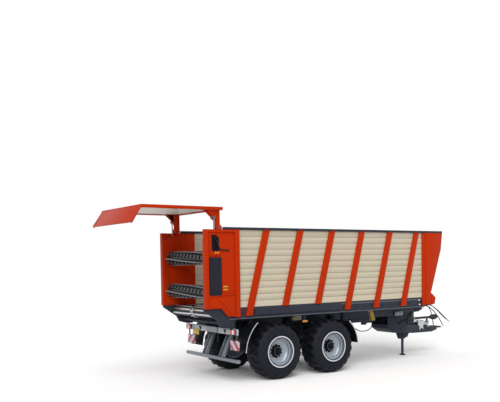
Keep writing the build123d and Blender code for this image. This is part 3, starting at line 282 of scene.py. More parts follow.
def rim_lacquer(name, colour):
    """Silver lacquer on steel discs: metal flakes under a clear coat, so it glints but stays
    pale where it faces a white room."""
    material, tree = new_finish(name)
    return finished(material, {
        "Base Color": blotched(tree, colour, 9, 0.05), "Metallic": 0.45, "Roughness": 0.34,
        "Coat Weight": 0.3, "Coat Roughness": 0.15, "Normal": grained(tree, 0.12, 0.006, 0.0)})


def moulded_plastic(name, colour, roughness):
    """Moulded ABS: even colour with a light spark-eroded texture of 0.3 mm."""
    material, tree = new_finish(name)
    return finished(material, {
        "Base Color": blotched(tree, colour, 12, 0.05), "Roughness": roughness,
        "Normal": grained(tree, 0.3, 0.012)})


def beater_enamel(name, node):
    """Dark enamel on steel rotors, black at the core, with a painted highlight that turns the bars
    and teeth grey from 5.2 mm off the axis outward."""
    material, tree = new_finish(name)
    low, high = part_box(node)
    place = add_node(tree, "ShaderNodeTexCoord")
    off = add_node(tree, "ShaderNodeVectorMath", {"operation": "SUBTRACT"},
                   {0: place.outputs["Object"], 1: tuple((low + high) / 2)})
    flat = add_node(tree, "ShaderNodeVectorMath", {"operation": "MULTIPLY"},
                    {0: off.outputs[0], 1: (1, 0, 1)})
    radius = add_node(tree, "ShaderNodeVectorMath", {"operation": "LENGTH"},
                      {0: flat.outputs[0]})
    # Painted highlight: the bars and teeth turn grey from 5.2 mm off the axis outward
    edge_highlight = add_node(tree, "ShaderNodeMapRange", None, {
        "Value": radius.outputs["Value"], "From Min": 5.2 * MM, "From Max": 5.95 * MM})
    wear_and_highlight = add_node(tree, "ShaderNodeMix", {"data_type": "RGBA"}, {
        "Factor": edge_highlight.outputs[0], 6: rgba(linear("#0F0F12")), 7: rgba(linear("#77757A"))})
    return finished(material, {
        "Base Color": wear_and_highlight.outputs[2], "Roughness": 0.45, "Specular IOR Level": 0.3,
        "Normal": grained(tree, 0.6, 0.015)})


def lamp_lens(name, colour):
    """Tinted acrylic lens: glossy over deep colour, with moulded prisms 0.6 mm apart."""
    material, tree = new_finish(name)
    place = add_node(tree, "ShaderNodeTexCoord")
    prisms = add_node(tree, "ShaderNodeTexVoronoi", None, {
        "Vector": place.outputs["Object"], "Scale": 1 / (0.6 * MM)})
    relief = add_node(tree, "ShaderNodeBump", None, {
        "Height": prisms.outputs["Distance"], "Distance": 0.05 * MM,
        "Strength": GRAIN_STRENGTH})
    return finished(material, {
        "Base Color": blotched(tree, colour, 2, 0.12), "Roughness": 0.12, "Coat Weight": 0.6,
        "Normal": relief.outputs[0]})


def striped_sheet(name, red, white, tab, period_mm, top_mm):
    """Reflective sheet on board: red and white bands at 45 degrees, with fine beads under a
    glossy face. The tabs over the board's top edge are painted dark."""
    material, tree = new_finish(name)
    place = add_node(tree, "ShaderNodeTexCoord")
    split = add_node(tree, "ShaderNodeSeparateXYZ", None, {"Vector": place.outputs["Object"]})
    outward = add_node(tree, "ShaderNodeMath", {"operation": "ABSOLUTE"}, {0: split.outputs["Y"]})
    slant = add_node(tree, "ShaderNodeMath", {"operation": "ADD"},
                     {0: outward.outputs[0], 1: split.outputs["Z"]})
    bands = add_node(tree, "ShaderNodeMath", {"operation": "DIVIDE"},
                     {0: slant.outputs[0], 1: period_mm * MM})
    part = add_node(tree, "ShaderNodeMath", {"operation": "FRACT"}, {0: bands.outputs[0]})
    choice = add_node(tree, "ShaderNodeMath", {"operation": "GREATER_THAN"},
                      {0: part.outputs[0], 1: 0.5})
    stripes = add_node(tree, "ShaderNodeMix", {"data_type": "RGBA"},
                       {"Factor": choice.outputs[0], 6: rgba(white), 7: rgba(red)})
    above = add_node(tree, "ShaderNodeMath", {"operation": "GREATER_THAN"},
                     {0: split.outputs["Z"], 1: top_mm * MM})
    whole = add_node(tree, "ShaderNodeMix", {"data_type": "RGBA"},
                     {"Factor": above.outputs[0], 6: stripes.outputs[2], 7: rgba(tab)})
    return finished(material, {
        "Base Color": whole.outputs[2], "Roughness": 0.3, "Coat Weight": 0.2,
        "Normal": grained(tree, 0.2, 0.01, 0.0)})


FINISHES = {}


def finish(slot):
    """The material of one of the record's slots, or of a trim finish, made once."""
    if FINISHES:
        return FINISHES[slot]
    paint = bpy.context.scene.trailer_colours
    dark = tuple(c * 0.16 for c in paint.chassis)
    FINISHES.update({
        "tyre_rubber": moulded_rubber("moulded tyre rubber", tuple(paint.tyres)),
        # Near-black rubber: painted shade on the floor between the lugs
        "groove_shade_rubber": moulded_rubber("rough groove rubber, painted shade", linear("#07080B")),
        "rim_silver": rim_lacquer("silver rim lacquer", tuple(paint.rims)),
        # Pale lacquer for the rims' painted highlight rings
        "highlight_lacquer": rim_lacquer("pale silver lacquer, painted highlight", linear("#D3D7DC")),
        "dark_paint": sprayed_enamel("anthracite enamel", tuple(paint.chassis), 0.45, 0.05),
        "orange_paint": sprayed_enamel("orange-red enamel", tuple(paint.body), 0.42, 0.06),
        "cream_paint": board_enamel("cream board enamel", tuple(paint.boards), BOARD_PITCH,
                                    WALL_LOW),
        # Paler than the boards: painted light on the tailgate's underside
        "skin_painted_light": sprayed_enamel("pale satin enamel, painted light", linear("#E6E1D4"), 0.45, 0.05),
        "floor_paint": sprayed_enamel("dark floor enamel", linear("#37383B"), 0.55, 0.0),
        "steel_bright": zinc_plate("zinc-plated steel", tuple(paint.zinc), 0.36),
        "beater_upper": beater_enamel("dark beater enamel, upper", "beater_upper"),
        "beater_lower": beater_enamel("dark beater enamel, lower", "beater_lower"),
        "black_plastic": moulded_plastic("black moulded ABS", linear("#1B1C1F"), 0.5),
        "hose_rubber": moulded_rubber("black hose rubber", linear("#1C1D20")),
        "lamp_plastic": lamp_lens("red acrylic lens", tuple(paint.signal_red)),
        "clear_lens": lamp_lens("clear acrylic lens", tuple(paint.signal_white)),
        "amber_lens": lamp_lens("amber acrylic lens", linear("#E08A1A")),
        "amber_dark": lamp_lens("smoked amber lens", linear("#4A3020")),
        "chock_plastic": moulded_plastic("dull yellow ABS", linear("#85702C"), 0.5),
        "yellow_plastic": moulded_plastic("yellow moulded ABS", tuple(paint.yellow), 0.38),
        # The red and white are dulled and darkened as painted shade, since the boards stand partly
        # in shadow
        "board_plastic": striped_sheet("striped reflective sheet", linear("#A8354A"),
                                       linear("#CFC4CB"), dark, STRIPE_PERIOD, BOARD_TOP),
        "olive_plastic": moulded_plastic("olive moulded ABS", linear("#57553B"), 0.45),
        "bar_plastic": moulded_plastic("light grey ABS", tuple(paint.light_bar), 0.36),
        "valve_brass": zinc_plate("yellow passivated steel", linear("#B58A32"), 0.34),
        "hub_dark": sprayed_enamel("dark hub enamel", dark, 0.5, 0.02),
        # Lighter anthracite: painted highlight on the sills' folded lips, and plain grey paint on
        # bolts and rod eyes
        "grey_highlight_enamel": sprayed_enamel("light anthracite enamel, painted highlight on folds", linear("#62656D"), 0.4,
                                      0.05),
        "cover_enamel": sprayed_enamel("blue-black cover enamel", linear("#26272F"), 0.5, 0.02),
        "galvanised": zinc_plate("dull galvanised steel", linear("#878C94"), 0.5),
        "wire": moulded_plastic("dark wire lacquer", linear("#2A2829"), 0.5),
        "red_plastic": moulded_plastic("red moulded ABS", linear("#B5303A"), 0.4),
    })
    return FINISHES[slot]


def shaded(mesh, smooth=SMOOTH_ANGLE):
    """Smooth shading, with sharp edges where faces meet at more than the angle in degrees."""
    mesh.shade_smooth()
    mesh.set_sharp_from_angle(angle=radians(smooth))


def from_bmesh(name, shape, smooth=SMOOTH_ANGLE):
    """The shape as a new object with its normals outward."""
    bmesh.ops.recalc_face_normals(shape, faces=shape.faces)
    return from_clean_bmesh(name, shape, smooth)


def from_clean_bmesh(name, shape, smooth=SMOOTH_ANGLE):
    mesh = bpy.data.meshes.new(name)
    shape.to_mesh(mesh)
    shape.free()
    shaded(mesh, smooth)
    piece = bpy.data.objects.new(name, mesh)
    bpy.context.collection.objects.link(piece)
    return piece


def evaluated_mesh(thing):
    graph = bpy.context.evaluated_depsgraph_get()
    graph.update()
    return bpy.data.meshes.new_from_object(thing.evaluated_get(graph))


def applied(piece, smooth=SMOOTH_ANGLE):
    """The piece with its modifiers turned into a plain mesh."""
    mesh = evaluated_mesh(piece)
    piece.modifiers.clear()
    piece.data = mesh
    shaded(mesh, smooth)
    return piece


def rounded(piece, width, segments=2):
    """The piece with its edges rounded by a width in metres."""
    bevel = piece.modifiers.new("rounded edges", "BEVEL")
    bevel.width = width
    bevel.segments = segments
    bevel.limit_method = "ANGLE"
    bevel.angle_limit = radians(BEVEL_ANGLE)
    bevel.use_clamp_overlap = True
    return applied(piece)


def settle(piece, body, slot, look=None, stands_for=()):
    """Gives a piece its finish, its body and its slot, and hides the CAD nodes it stands for."""
    piece.data.materials.clear()
    piece.data.materials.append(finish(look or slot))
    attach(piece, body)
    if stands_for:
        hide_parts(*stands_for)
    return piece


def dress(node, edge_mm, look=None):
    """A copy of a CAD node with its flat faces whole, its edges rounded and its real finish."""
    shape = bmesh.new()
    shape.from_mesh(frame["nodes"][node].data)
    bmesh.ops.remove_doubles(shape, verts=shape.verts, dist=10 * SAME_PLACE)
    bmesh.ops.dissolve_limit(shape, angle_limit=radians(0.5), verts=shape.verts,
                             edges=shape.edges)
    piece = from_clean_bmesh("dressed_" + node, shape)
    if edge_mm:
        rounded(piece, edge_mm * MM)
    return settle(piece, BODY_OF[node], SLOT_OF[node], look, (node,))


def second_finish(piece, look, wanted):
    """Another finish on the faces that are wanted, by a test of their centres."""
    piece.data.materials.append(finish(look))
    for face in piece.data.polygons:
        if wanted(face.center):
            face.material_index = 1


def bridge(shape, rings):
    """Faces between each ring of points and the next."""
    for one, two in zip(rings, rings[1:]):
        for i in range(len(one)):
            j = (i + 1) % len(one)
            shape.faces.new((one[i], one[j], two[j], two[i]))


def cap(shape, rings):
    """Faces over both ends of a run of rings."""
    shape.faces.new(rings[0])
    shape.faces.new(list(reversed(rings[-1])))


def across(axis):
    """The axis and two directions square to it, of length 1."""
    axis = Vector(axis).normalized()
    side = axis.orthogonal().normalized()
    return axis, side, axis.cross(side)


def lathe(profile, centre, axis, steps=64):
    """A turned shape from (radius, along) points in mm about an axis through the centre."""
    shape = bmesh.new()
    axis, side, other = across(axis)
    rings = []
    for i in range(steps):
        out = side * cos(tau * i / steps) + other * sin(tau * i / steps)
        rings.append([shape.verts.new(Vector(centre) + out * r * MM + axis * a * MM)
                      for r, a in profile])
    bridge(shape, rings + rings[:1])
    bmesh.ops.remove_doubles(shape, verts=shape.verts, dist=SAME_PLACE)
    return shape


def slab(shape, outline, offset):
    """Adds a solid between an outline of points and the same outline moved by the offset."""
    low = [shape.verts.new(p) for p in outline]
    high = [shape.verts.new(Vector(p) + Vector(offset)) for p in outline]
    shape.faces.new(low)
    shape.faces.new(list(reversed(high)))
    for i in range(len(low)):
        j = (i + 1) % len(low)
        shape.faces.new((low[i], high[i], high[j], low[j]))


def plates(*parts, side=1):
    """Plates seen from the side, each as (x, z) points, y0 and y1 in mm. Side -1 mirrors."""
    shape = bmesh.new()
    for points, y0, y1 in parts:
        slab(shape, [at(x, side * y0, z) for x, z in points], (0, side * (y1 - y0) * MM, 0))
    return shape


def boxes(*bounds, side=1):
    """Boxes, each as x0, x1, y0, y1, z0 and z1 in mm. Side -1 mirrors them."""
    return plates(*(([(x0, z0), (x1, z0), (x1, z1), (x0, z1)], y0, y1)
                    for x0, x1, y0, y1, z0, z1 in bounds), side=side)


def bolts(places, axis, radius_mm, height_mm, shape=None):
    """Hexagon nuts or bolt heads with chamfered faces, on places in metres."""
    shape = bmesh.new() if shape is None else shape
    axis, side, other = across(axis)
    for place in places:
        rings = []
        for share, up in ((1.0, 0.0), (1.0, 0.75), (0.82, 1.0)):
            ring = [side * cos(i * tau / 6) + other * sin(i * tau / 6) for i in range(6)]
            rings.append([shape.verts.new(
                Vector(place) + p * radius_mm * MM * share + axis * height_mm * MM * up)
                for p in ring])
        bridge(shape, rings)
        cap(shape, rings)
    return shape


def nurbs(name, points, radius, steps, sides, straight=False):
    """A round line along points in metres, as curve data. It bends smoothly past its points, or
    runs straight from one to the next."""
    line = bpy.data.curves.new(name, "CURVE")
    line.dimensions = "3D"
    line.bevel_depth = radius
    line.bevel_resolution = sides
    line.use_fill_caps = True
    run = line.splines.new("NURBS")
    run.points.add(len(points) - 1)
    for spot, point in zip(run.points, points):
        spot.co = (*point, 1)
    run.order_u = 2 if straight else 3
    run.use_endpoint_u = True
    run.resolution_u = steps
    return line


def pipe(name, points, radius_mm, straight=False):
    """A tube along points in mm from the bogie, as a plain mesh."""
    line = nurbs(name, [at(*point) for point in points], radius_mm * MM, steps=10, sides=6,
                 straight=straight)
    curve = bpy.data.objects.new(name, line)
    bpy.context.collection.objects.link(curve)
    shape = bmesh.new()
    shape.from_mesh(evaluated_mesh(curve))
    bpy.data.objects.remove(curve)
    bmesh.ops.remove_doubles(shape, verts=shape.verts, dist=SAME_PLACE)
    return from_bmesh(name, shape)


def joined(name, pieces):
    """Several plain meshes as one piece."""
    shape = bmesh.new()
    for piece in pieces:
        shape.from_mesh(piece.data)
        bpy.data.objects.remove(piece)
    return from_clean_bmesh(name, shape)


def copies_tree(name, turned):
    """Copies of a piece, in a ring about the Y axis at a centre or in a row along a step."""
    tree = bpy.data.node_groups.new(name, "GeometryNodeTree")
    sockets = [("Piece", "Geometry"), ("Copies", "Int"), ("Centre", "Vector"),
               ("Step", "Vector"), ("Finish", "Material")]
    for label, kind in sockets:
        tree.interface.new_socket(label, in_out="INPUT", socket_type="NodeSocket" + kind)
    tree.interface.new_socket("Copied", in_out="OUTPUT", socket_type="NodeSocketGeometry")
    given = add_node(tree, "NodeGroupInput").outputs
    index = add_node(tree, "GeometryNodeInputIndex")
    along = add_node(tree, "ShaderNodeVectorMath", {"operation": "SCALE"},
                     {0: given["Step"], "Scale": index.outputs[0]})
    place = add_node(tree, "ShaderNodeVectorMath", {"operation": "ADD"},
                     {0: given["Centre"], 1: along.outputs[0]})
    spot = given["Centre"] if turned else place.outputs[0]
    points = add_node(tree, "GeometryNodePoints", None,
                      {"Count": given["Copies"], "Position": spot})
    inputs = {"Points": points.outputs[0], "Instance": given["Piece"]}
    if turned:
        share = add_node(tree, "ShaderNodeMath", {"operation": "DIVIDE"},
                         {0: index.outputs[0], 1: given["Copies"]})
        angle = add_node(tree, "ShaderNodeMath", {"operation": "MULTIPLY"},
                         {0: share.outputs[0], 1: tau})
        inputs["Rotation"] = add_node(tree, "ShaderNodeCombineXYZ", None,
                                      {"Y": angle.outputs[0]}).outputs[0]
    copies = add_node(tree, "GeometryNodeInstanceOnPoints", None, inputs)
    solid = add_node(tree, "GeometryNodeRealizeInstances", None,
                     {"Geometry": copies.outputs[0]})
    dressed = add_node(tree, "GeometryNodeSetMaterial", None,
                       {"Geometry": solid.outputs[0], "Material": given["Finish"]})
    add_node(tree, "NodeGroupOutput", None, {"Copied": dressed.outputs[0]})
    return tree


TREES = {}


def copied(piece, look, copies, centre=(0, 0, 0), step=(0, 0, 0), turned=False,
           smooth=SMOOTH_ANGLE):
    """The piece repeated by a Geometry Nodes tree and turned into a plain mesh."""
    name = "ring of copies" if turned else "row of copies"
    if name not in TREES:
        TREES[name] = copies_tree(name, turned)
    tree = TREES[name]
    repeat = piece.modifiers.new(name, "NODES")
    repeat.node_group = tree
    values = {"Copies": copies, "Centre": tuple(centre), "Step": tuple(step),
              "Finish": finish(look)}
    for socket in tree.interface.items_tree:
        if socket.in_out == "INPUT" and socket.name in values:
            repeat[socket.identifier] = values[socket.name]
    return applied(piece, smooth)


def trim(name, shape, slot, look=None, edge=0.0, segments=2, body="trailer", row=None,
         ring=None, stands_for=()):
    """A finished piece from its shape. Its edges may be rounded by a width in mm, and it may be
    repeated: a row is a count and a step in mm, and a ring is a count and a centre."""
    piece = from_bmesh(name, shape)
    if edge:
        rounded(piece, edge * MM, segments)
    if row:
        copied(piece, look or slot, row[0], step=[a * MM for a in row[1]])
    if ring:
        copied(piece, look or slot, *ring, turned=True)
    return settle(piece, body, slot, look, stands_for)


class TRAILER_OT_tyres(bpy.types.Operator):
    """Build the four tyres: a carcass with ringed walls and slanted lugs over both shoulders"""
    bl_idname = "trailer.tyres"
    bl_label = "Tyres"

    def carcass(self, name, centre, half, tread):
        """A turned tyre from half its width and the radius under its lugs, in mm."""
        wall = ((0.0, 0.76), (1.4, 0.9), (2.0, 0.96), (2.4, 0.945), (4.2, 0.995), (4.5, 0.975),
                (6.2, 0.985))
        shoulder = ((3.6, 0.97), (1.7, 0.9), (0.7, 0.79), (0.2, 0.62), (0.0, 0.3))
        right = [(TYRE_BORE + rise, share) for rise, share in wall]
        right += [(tread - drop, share) for drop, share in shoulder]
        profile = [(r, -share * half) for r, share in right]
        profile += [(r, share * half) for r, share in reversed(right)]
        return from_bmesh(name, lathe(profile, centre, (0, 1, 0), 96))

    def lug(self, name, half, outer, lug_height):
        """A pair of lugs, one on each shoulder, half a pitch apart."""
        shape = bmesh.new()
        turn = tau / bpy.context.scene.trailer_sizes.lugs
        base = outer - lug_height - 0.4 * MM
        # Along half the tyre's width: share, top, and lean and half width in lug pitches
        stations = [(0.0, outer, 0.3, 0.17), (0.3, outer, 0.2, 0.2),
                    (0.6, outer - 0.05 * MM, 0.06, 0.23), (0.84, outer - 1.2 * MM, 0.0, 0.24),
                    (0.93, outer - 2.3 * MM, 0.0, 0.22), (0.985, outer - 3.9 * MM, 0.0, 0.16)]
        for side, phase in ((1, 0.0), (-1, 0.5)):
            rows = []
            for share, top, lean, width in stations:
                y = side * half * share
                low = min(base, top - 0.9 * MM)
                row = []
                for radius, edge in ((low, -1.15), (top, -1.0), (top, 1.0), (low, 1.15)):
                    angle = (phase + lean + edge * width) * turn
                    row.append(shape.verts.new((radius * sin(angle), y, radius * cos(angle))))
                rows.append(row)
            bridge(shape, rows)
            cap(shape, rows)
        return from_bmesh(name, shape, LUG_SMOOTH_ANGLE)

    def execute(self, context):
        sizes = context.scene.trailer_sizes
        for wheel in WHEELS:
            node = "tyre_" + wheel
            low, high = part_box(node)
            centre = (low + high) / 2
            half, outer = (high.y - low.y) / 2, (high.z - low.z) / 2
            tread = outer - sizes.lug_height
            carcass = self.carcass("carcass_" + wheel, centre, half / MM, tread / MM)
            settle(carcass, BODY_OF[node], SLOT_OF[node], None, (node,))
            # The floor between the lugs is rougher than the lugs and walls, and painted darker as
            # the shade between the lugs
            second_finish(carcass, "groove_shade_rubber", lambda spot: Vector(
                ((spot - centre).x, (spot - centre).z)).length > tread - 1.2 * MM)
            lugs = self.lug("lugs_" + wheel, half, outer, sizes.lug_height)
            copied(lugs, "tyre_rubber", sizes.lugs, centre, turned=True,
                   smooth=LUG_SMOOTH_ANGLE)
            settle(lugs, BODY_OF[node], SLOT_OF[node], None, (node,))
        return {"FINISHED"}


class TRAILER_OT_rims(bpy.types.Operator):
    """Finish the four rims with painted highlight rings, a painted shadow ring, hubs, wheel nuts,
    and dark discs painted as the shade in the vent holes
    """
    bl_idname = "trailer.rims"
    bl_label = "Rims"

    # Turned rings of each rim: name, finish, steps, and (radius, outward) points in mm. The pale
    # rings are painted highlights on the lip and inside the well, and the dark ring between them
    # is painted shadow
    rings = (
        ("lip_highlight_ring_", "highlight_lacquer", 72,
         ((12.05, 10.1), (12.1, 10.4), (12.4, 10.49), (13.15, 10.49), (13.2, 10.0))),
        ("lip_shadow_ring_", "dark_paint", 72,
         ((11.2, 9.8), (11.2, 10.16), (12.07, 10.34), (12.07, 9.8))),
        ("step_highlight_ring_", "highlight_lacquer", 72,
         ((10.75, 6.9), (10.95, 6.5), (11.25, 6.5), (11.25, 7.6), (10.95, 7.5))),
        ("hub_", "hub_dark", 48,
         ((1.62, HUB_FACE), (5.0, HUB_FACE - 0.2), (5.0, HUB_FACE + 0.55),
          (3.7, HUB_FACE + 0.9), (3.65, HUB_FACE + 3.2), (3.2, HUB_FACE + 3.7),
          (1.62, HUB_FACE + 3.7))),
    )

    def execute(self, context):
        for wheel in WHEELS:
            node = "rim_" + wheel
            kind = {"slot": SLOT_OF[node], "body": BODY_OF[node]}
            dress(node, 0.0)
            centre = wheel_centre(wheel)
            side = 1 if centre.y > 0 else -1
            for name, look, steps, profile in self.rings:
                trim(name + wheel, lathe([(r, side * a) for r, a in profile], centre,
                                         (0, 1, 0), steps), look=look, **kind)
            nut = Vector((0, side * (HUB_FACE - 0.1), 5.15)) * MM
            trim("wheel_nuts_" + wheel, bolts([nut], (0, side, 0), 0.7, 2.1), look="hub_dark",
                 ring=(context.scene.trailer_sizes.nuts, centre), **kind)
            # Dark discs stand for the vent holes: painted shade where one looks into the wheel
            shape = bmesh.new()
            bmesh.ops.create_cone(
                shape, cap_ends=True, segments=20, radius1=0.85 * MM, radius2=0.85 * MM,
                depth=0.5 * MM, matrix=Matrix.Translation((0, side * 1.95 * MM, 7.6 * MM))
                @ Matrix.Rotation(pi / 2, 4, "X"))
            trim("vent_hole_shade_" + wheel, shape, look="hub_dark", ring=(8, centre), **kind)
        return {"FINISHED"}


class TRAILER_OT_body(bpy.types.Operator):
    """Dress the walls, posts, rails, sills and corner panels, and fold their edges"""
    bl_idname = "trailer.body"
    bl_label = "Body"

    def panel_folds(self):
        """Folded edges and pressed ridges of the orange panels, on both sides."""
        for side, hand in HANDS:
            folds = ([(-94.6, 61.2), (-91.4, 61.2), (-91.4, 123.4), (-94.6, 123.4)],
                     [(-67.2, 53.9), (-62.9, 53.4), (-62.9, 123.4), (-67.2, 123.4)],
                     [(-91.4, 70.4), (-67.2, 71.6), (-67.2, 73.0), (-91.4, 71.8)],
                     [(-91.4, 121.4), (-67.2, 121.4), (-67.2, 123.4), (-91.4, 123.4)])
            trim("rear_panel_folds_" + hand,
                 plates(*((fold, 38.55, 39.7) for fold in folds), side=side),
                 "orange_paint", edge=0.22)
            trim("front_panel_folds_" + hand, plates(
                ([(147.5, 53.6), (151.4, 53.6), (151.4, 123.4), (147.5, 123.4)], 37.7, 38.2),
                ([(159.4, 62.0), (164.6, 60.5), (163.4, 54.4), (159.4, 54.2)], 38.5, 39.0),
                side=side), "orange_paint", edge=0.15)

    def post_caps(self):
        """A clip and two bolts where each post meets the rail."""
        posts = (6, (POST_PITCH, 0, 0))
        for side, hand in HANDS:
            trim("rail_clips_" + hand,
                 boxes((-37.9, -33.1, 38.5, 39.1, 122.6, 123.6), side=side),
                 "orange_paint", edge=0.12, row=posts)
            trim("rail_bolts_" + hand,
                 bolts([at(x, side * 38.5, 124.9) for x in (-36.7, -34.3)], (0, side, 0), 0.5,
                       0.4), "orange_paint", row=posts)

    def sill_details(self):
        """Folded lips and a row of bolts on the dark sills. The lips' lighter grey is a painted
        highlight.
        """
        for side, hand in HANDS:
            trim("sill_lips_" + hand, boxes(
                (-72.0, 147.4, 36.7, 37.4, 51.6, 52.4), (40.0, 147.4, 36.7, 37.1, 58.6, 59.6),
                side=side), "dark_paint", "grey_highlight_enamel", edge=0.12)
            trim("sill_bolts_" + hand,
                 bolts([at(50.0, side * 36.75, 55.6)], (0, side, 0), 0.55, 0.4),
                 "dark_paint", "hub_dark", row=(9, (11.5, 0, 0)))

    def ease_pocket(self, panel):
        """Moves back the corner of the pocket that the shut tailgate's cylinder passes by less
        than a tenth of a millimetre."""
        corner = at(-85.6, 0, 102.5)
        for vertex in panel.data.vertices:
            away = vertex.co - corner
            if Vector((away.x, away.z)).length < 0.6 * MM and 35.4 < abs(vertex.co.y) / MM < 37.8:
                vertex.co.x -= 0.3 * MM

    def execute(self, context):
        edge = context.scene.trailer_sizes.edge / MM
        for node in ("side_wall_left", "side_wall_right"):
            dress(node, 0.0)
        for node in ("side_posts", "front_panel_left", "front_panel_right"):
            dress(node, edge)
        for node in ("rear_panel_left", "rear_panel_right"):
            self.ease_pocket(dress(node, edge))
        dress("drive_covers", edge, "cover_enamel")
        dress("top_rails", edge, "dark_paint")
        for node in ("side_sills", "rear_frame", "front_platform", "chassis_frame"):
            dress(node, edge)
        for node in ("body_floor", "scraper_slats"):
            dress(node, 0.08)
        self.panel_folds()
        self.post_caps()
        self.sill_details()
        return {"FINISHED"}


class TRAILER_OT_rear(bpy.types.Operator):
    """Dress the tailgate, its rams, the beaters and the pieces on the rear side panels"""
    bl_idname = "trailer.rear"
    bl_label = "Rear end"

    def tailgate(self):
        dress("tailgate_frame", 0.2)
        dress("tailgate_skin", 0.0, "skin_painted_light")
        for side, hand in HANDS:
            trim("tailgate_gussets_" + hand, plates(
                ([(-92.5, 139.0), (-84.6, 139.0), (-84.0, 131.5)], 33.2, 34.0),
                ([(-147.2, 138.6), (-146.6, 141.2), (-155.0, 128.8), (-154.4, 126.9)], 37.4,
                 38.55), side=side), "orange_paint", edge=0.12, body="tailgate")
            heads = bolts([at(-81.0, side * 38.35, 125.0)], (0, side, 0), 1.1, 0.6)
            bolts([at(-84.5, side * 33.2, 133.0)], (0, -side, 0), 0.8, 0.5, heads)
            trim("tailgate_bolts_" + hand, heads, "steel_bright", "grey_highlight_enamel",
                 body="tailgate")
        trim("tailgate_ridge", boxes((-143.5, -82.0, -0.8, 0.8, 141.1, 141.25)),
             "orange_paint", edge=0.1, body="tailgate")

    def rams(self):
        """The cylinders, and the bright rods with their painted top eyes."""
        dress("tailgate_cylinders", 0.0)
        rods = dress("tailgate_rods", 0.0)
        top = max(vertex.co.z for vertex in rods.data.vertices)
        second_finish(rods, "grey_highlight_enamel", lambda spot: spot.z > top - 2.3 * MM)

    def recesses(self):
        """A dark plate with slots in each rear panel, painted shade for the ram's recess, with its
        hose and ledge.
        """
        slots = [(-87.6, -83.8, 38.1, 38.45, z, z + 0.8) for z in (108.6, 111.0, 113.4, 115.8)]
        hose = ((-85.6, 38.3, 119.0), (-84.4, 38.6, 115.6), (-82.9, 39.3, 111.6),
                (-81.6, 39.5, 108.2), (-78.8, 39.5, 107.2), (-72.6, 39.2, 107.3))
        for side, hand in HANDS:
            # A dark plate and slots: painted shade for the ram's recess
            trim("recess_shade_" + hand, boxes(
                (-88.15, -83.25, 37.75, 38.2, 106.45, 119.35),
                (-83.3, -81.6, 38.4, 38.8, 106.45, 117.8), *slots, side=side),
                "dark_paint", "hub_dark")
            settle(pipe("panel_pipe_" + hand, [(x, side * y, z) for x, y, z in hose], 0.5),
                   "trailer", "hose_rubber")
            trim("panel_ledge_" + hand, boxes(
                (-90.6, -81.0, 38.5, 39.4, 103.0, 104.6),
                (-90.6, -89.9, 38.5, 39.2, 104.6, 119.4), side=side), "orange_paint", edge=0.1)

    def panel_trim(self):
        """Small marks and a pressed foot on the right rear panel, and the covers' screws."""
        trim("right_panel_marks", boxes(
            *((x, x + 1.2, -38.75, -38.5, 104.6, 106.0) for x in (-85.2, -83.0))),
            "yellow_plastic")
        trim("grease_marks", boxes(
            *((-78.2, -74.0, -38.72, -38.5, z, z + 0.9) for z in (75.6, 78.0))),
            "yellow_plastic")
        trim("right_panel_foot", plates(
            ([(-91.2, 61.6), (-80.2, 61.6), (-73.4, 55.4), (-67.4, 54.4), (-67.4, 71.4),
              (-91.2, 70.4)], -38.5, -39.1),
            ([(-84.0, 70.0), (-80.6, 70.0), (-72.0, 61.4), (-72.0, 57.0)], -38.9, -39.8)),
            "orange_paint", edge=0.2)
        screws = None
        for side, places in (
                (-1, ((-88.9, 73.6), (-81.9, 73.6), (-88.9, 99.6), (-81.9, 99.6))),
                (1, ((-88.2, 78.4), (-84.4, 79.4), (-66.4, 56.2), (-72.4, 57.0)))):
            screws = bolts([at(x, side * 39.9, z) for x, z in places], (0, side, 0), 0.55, 0.35,
                           screws)
        trim("cover_screws", screws, "dark_paint", "hub_dark")

    def floor_chain(self):
        """Links of the scraper chain along the floor, and the drum's sprocket."""
        trim("floor_chain_links", boxes(
            (-76.0, -74.2, -1.85, -1.15, 61.5, 62.1), (-76.0, -74.2, 1.15, 1.85, 61.5, 62.1),
            (-75.4, -74.8, -1.8, 1.8, 61.5, 62.0)), "steel_bright", row=(110, (2.1, 0, 0)))
        tooth = bmesh.new()
        slab(tooth, [Vector((x, -1.4, z)) * MM for x, z in
                     ((-0.5, 4.4), (0.5, 4.4), (0.3, 4.9), (-0.3, 4.9))], (0, 2.8 * MM, 0))
        trim("drum_sprocket", tooth, "steel_bright", "hub_dark", ring=(12, at(-82.5, 0, 56.8)))

    def execute(self, context):
        self.tailgate()
        self.rams()
        for name in ("beater_upper", "beater_lower"):
            dress(name, 0.12, name)
        self.recesses()
        self.panel_trim()
        self.floor_chain()
        return {"FINISHED"}


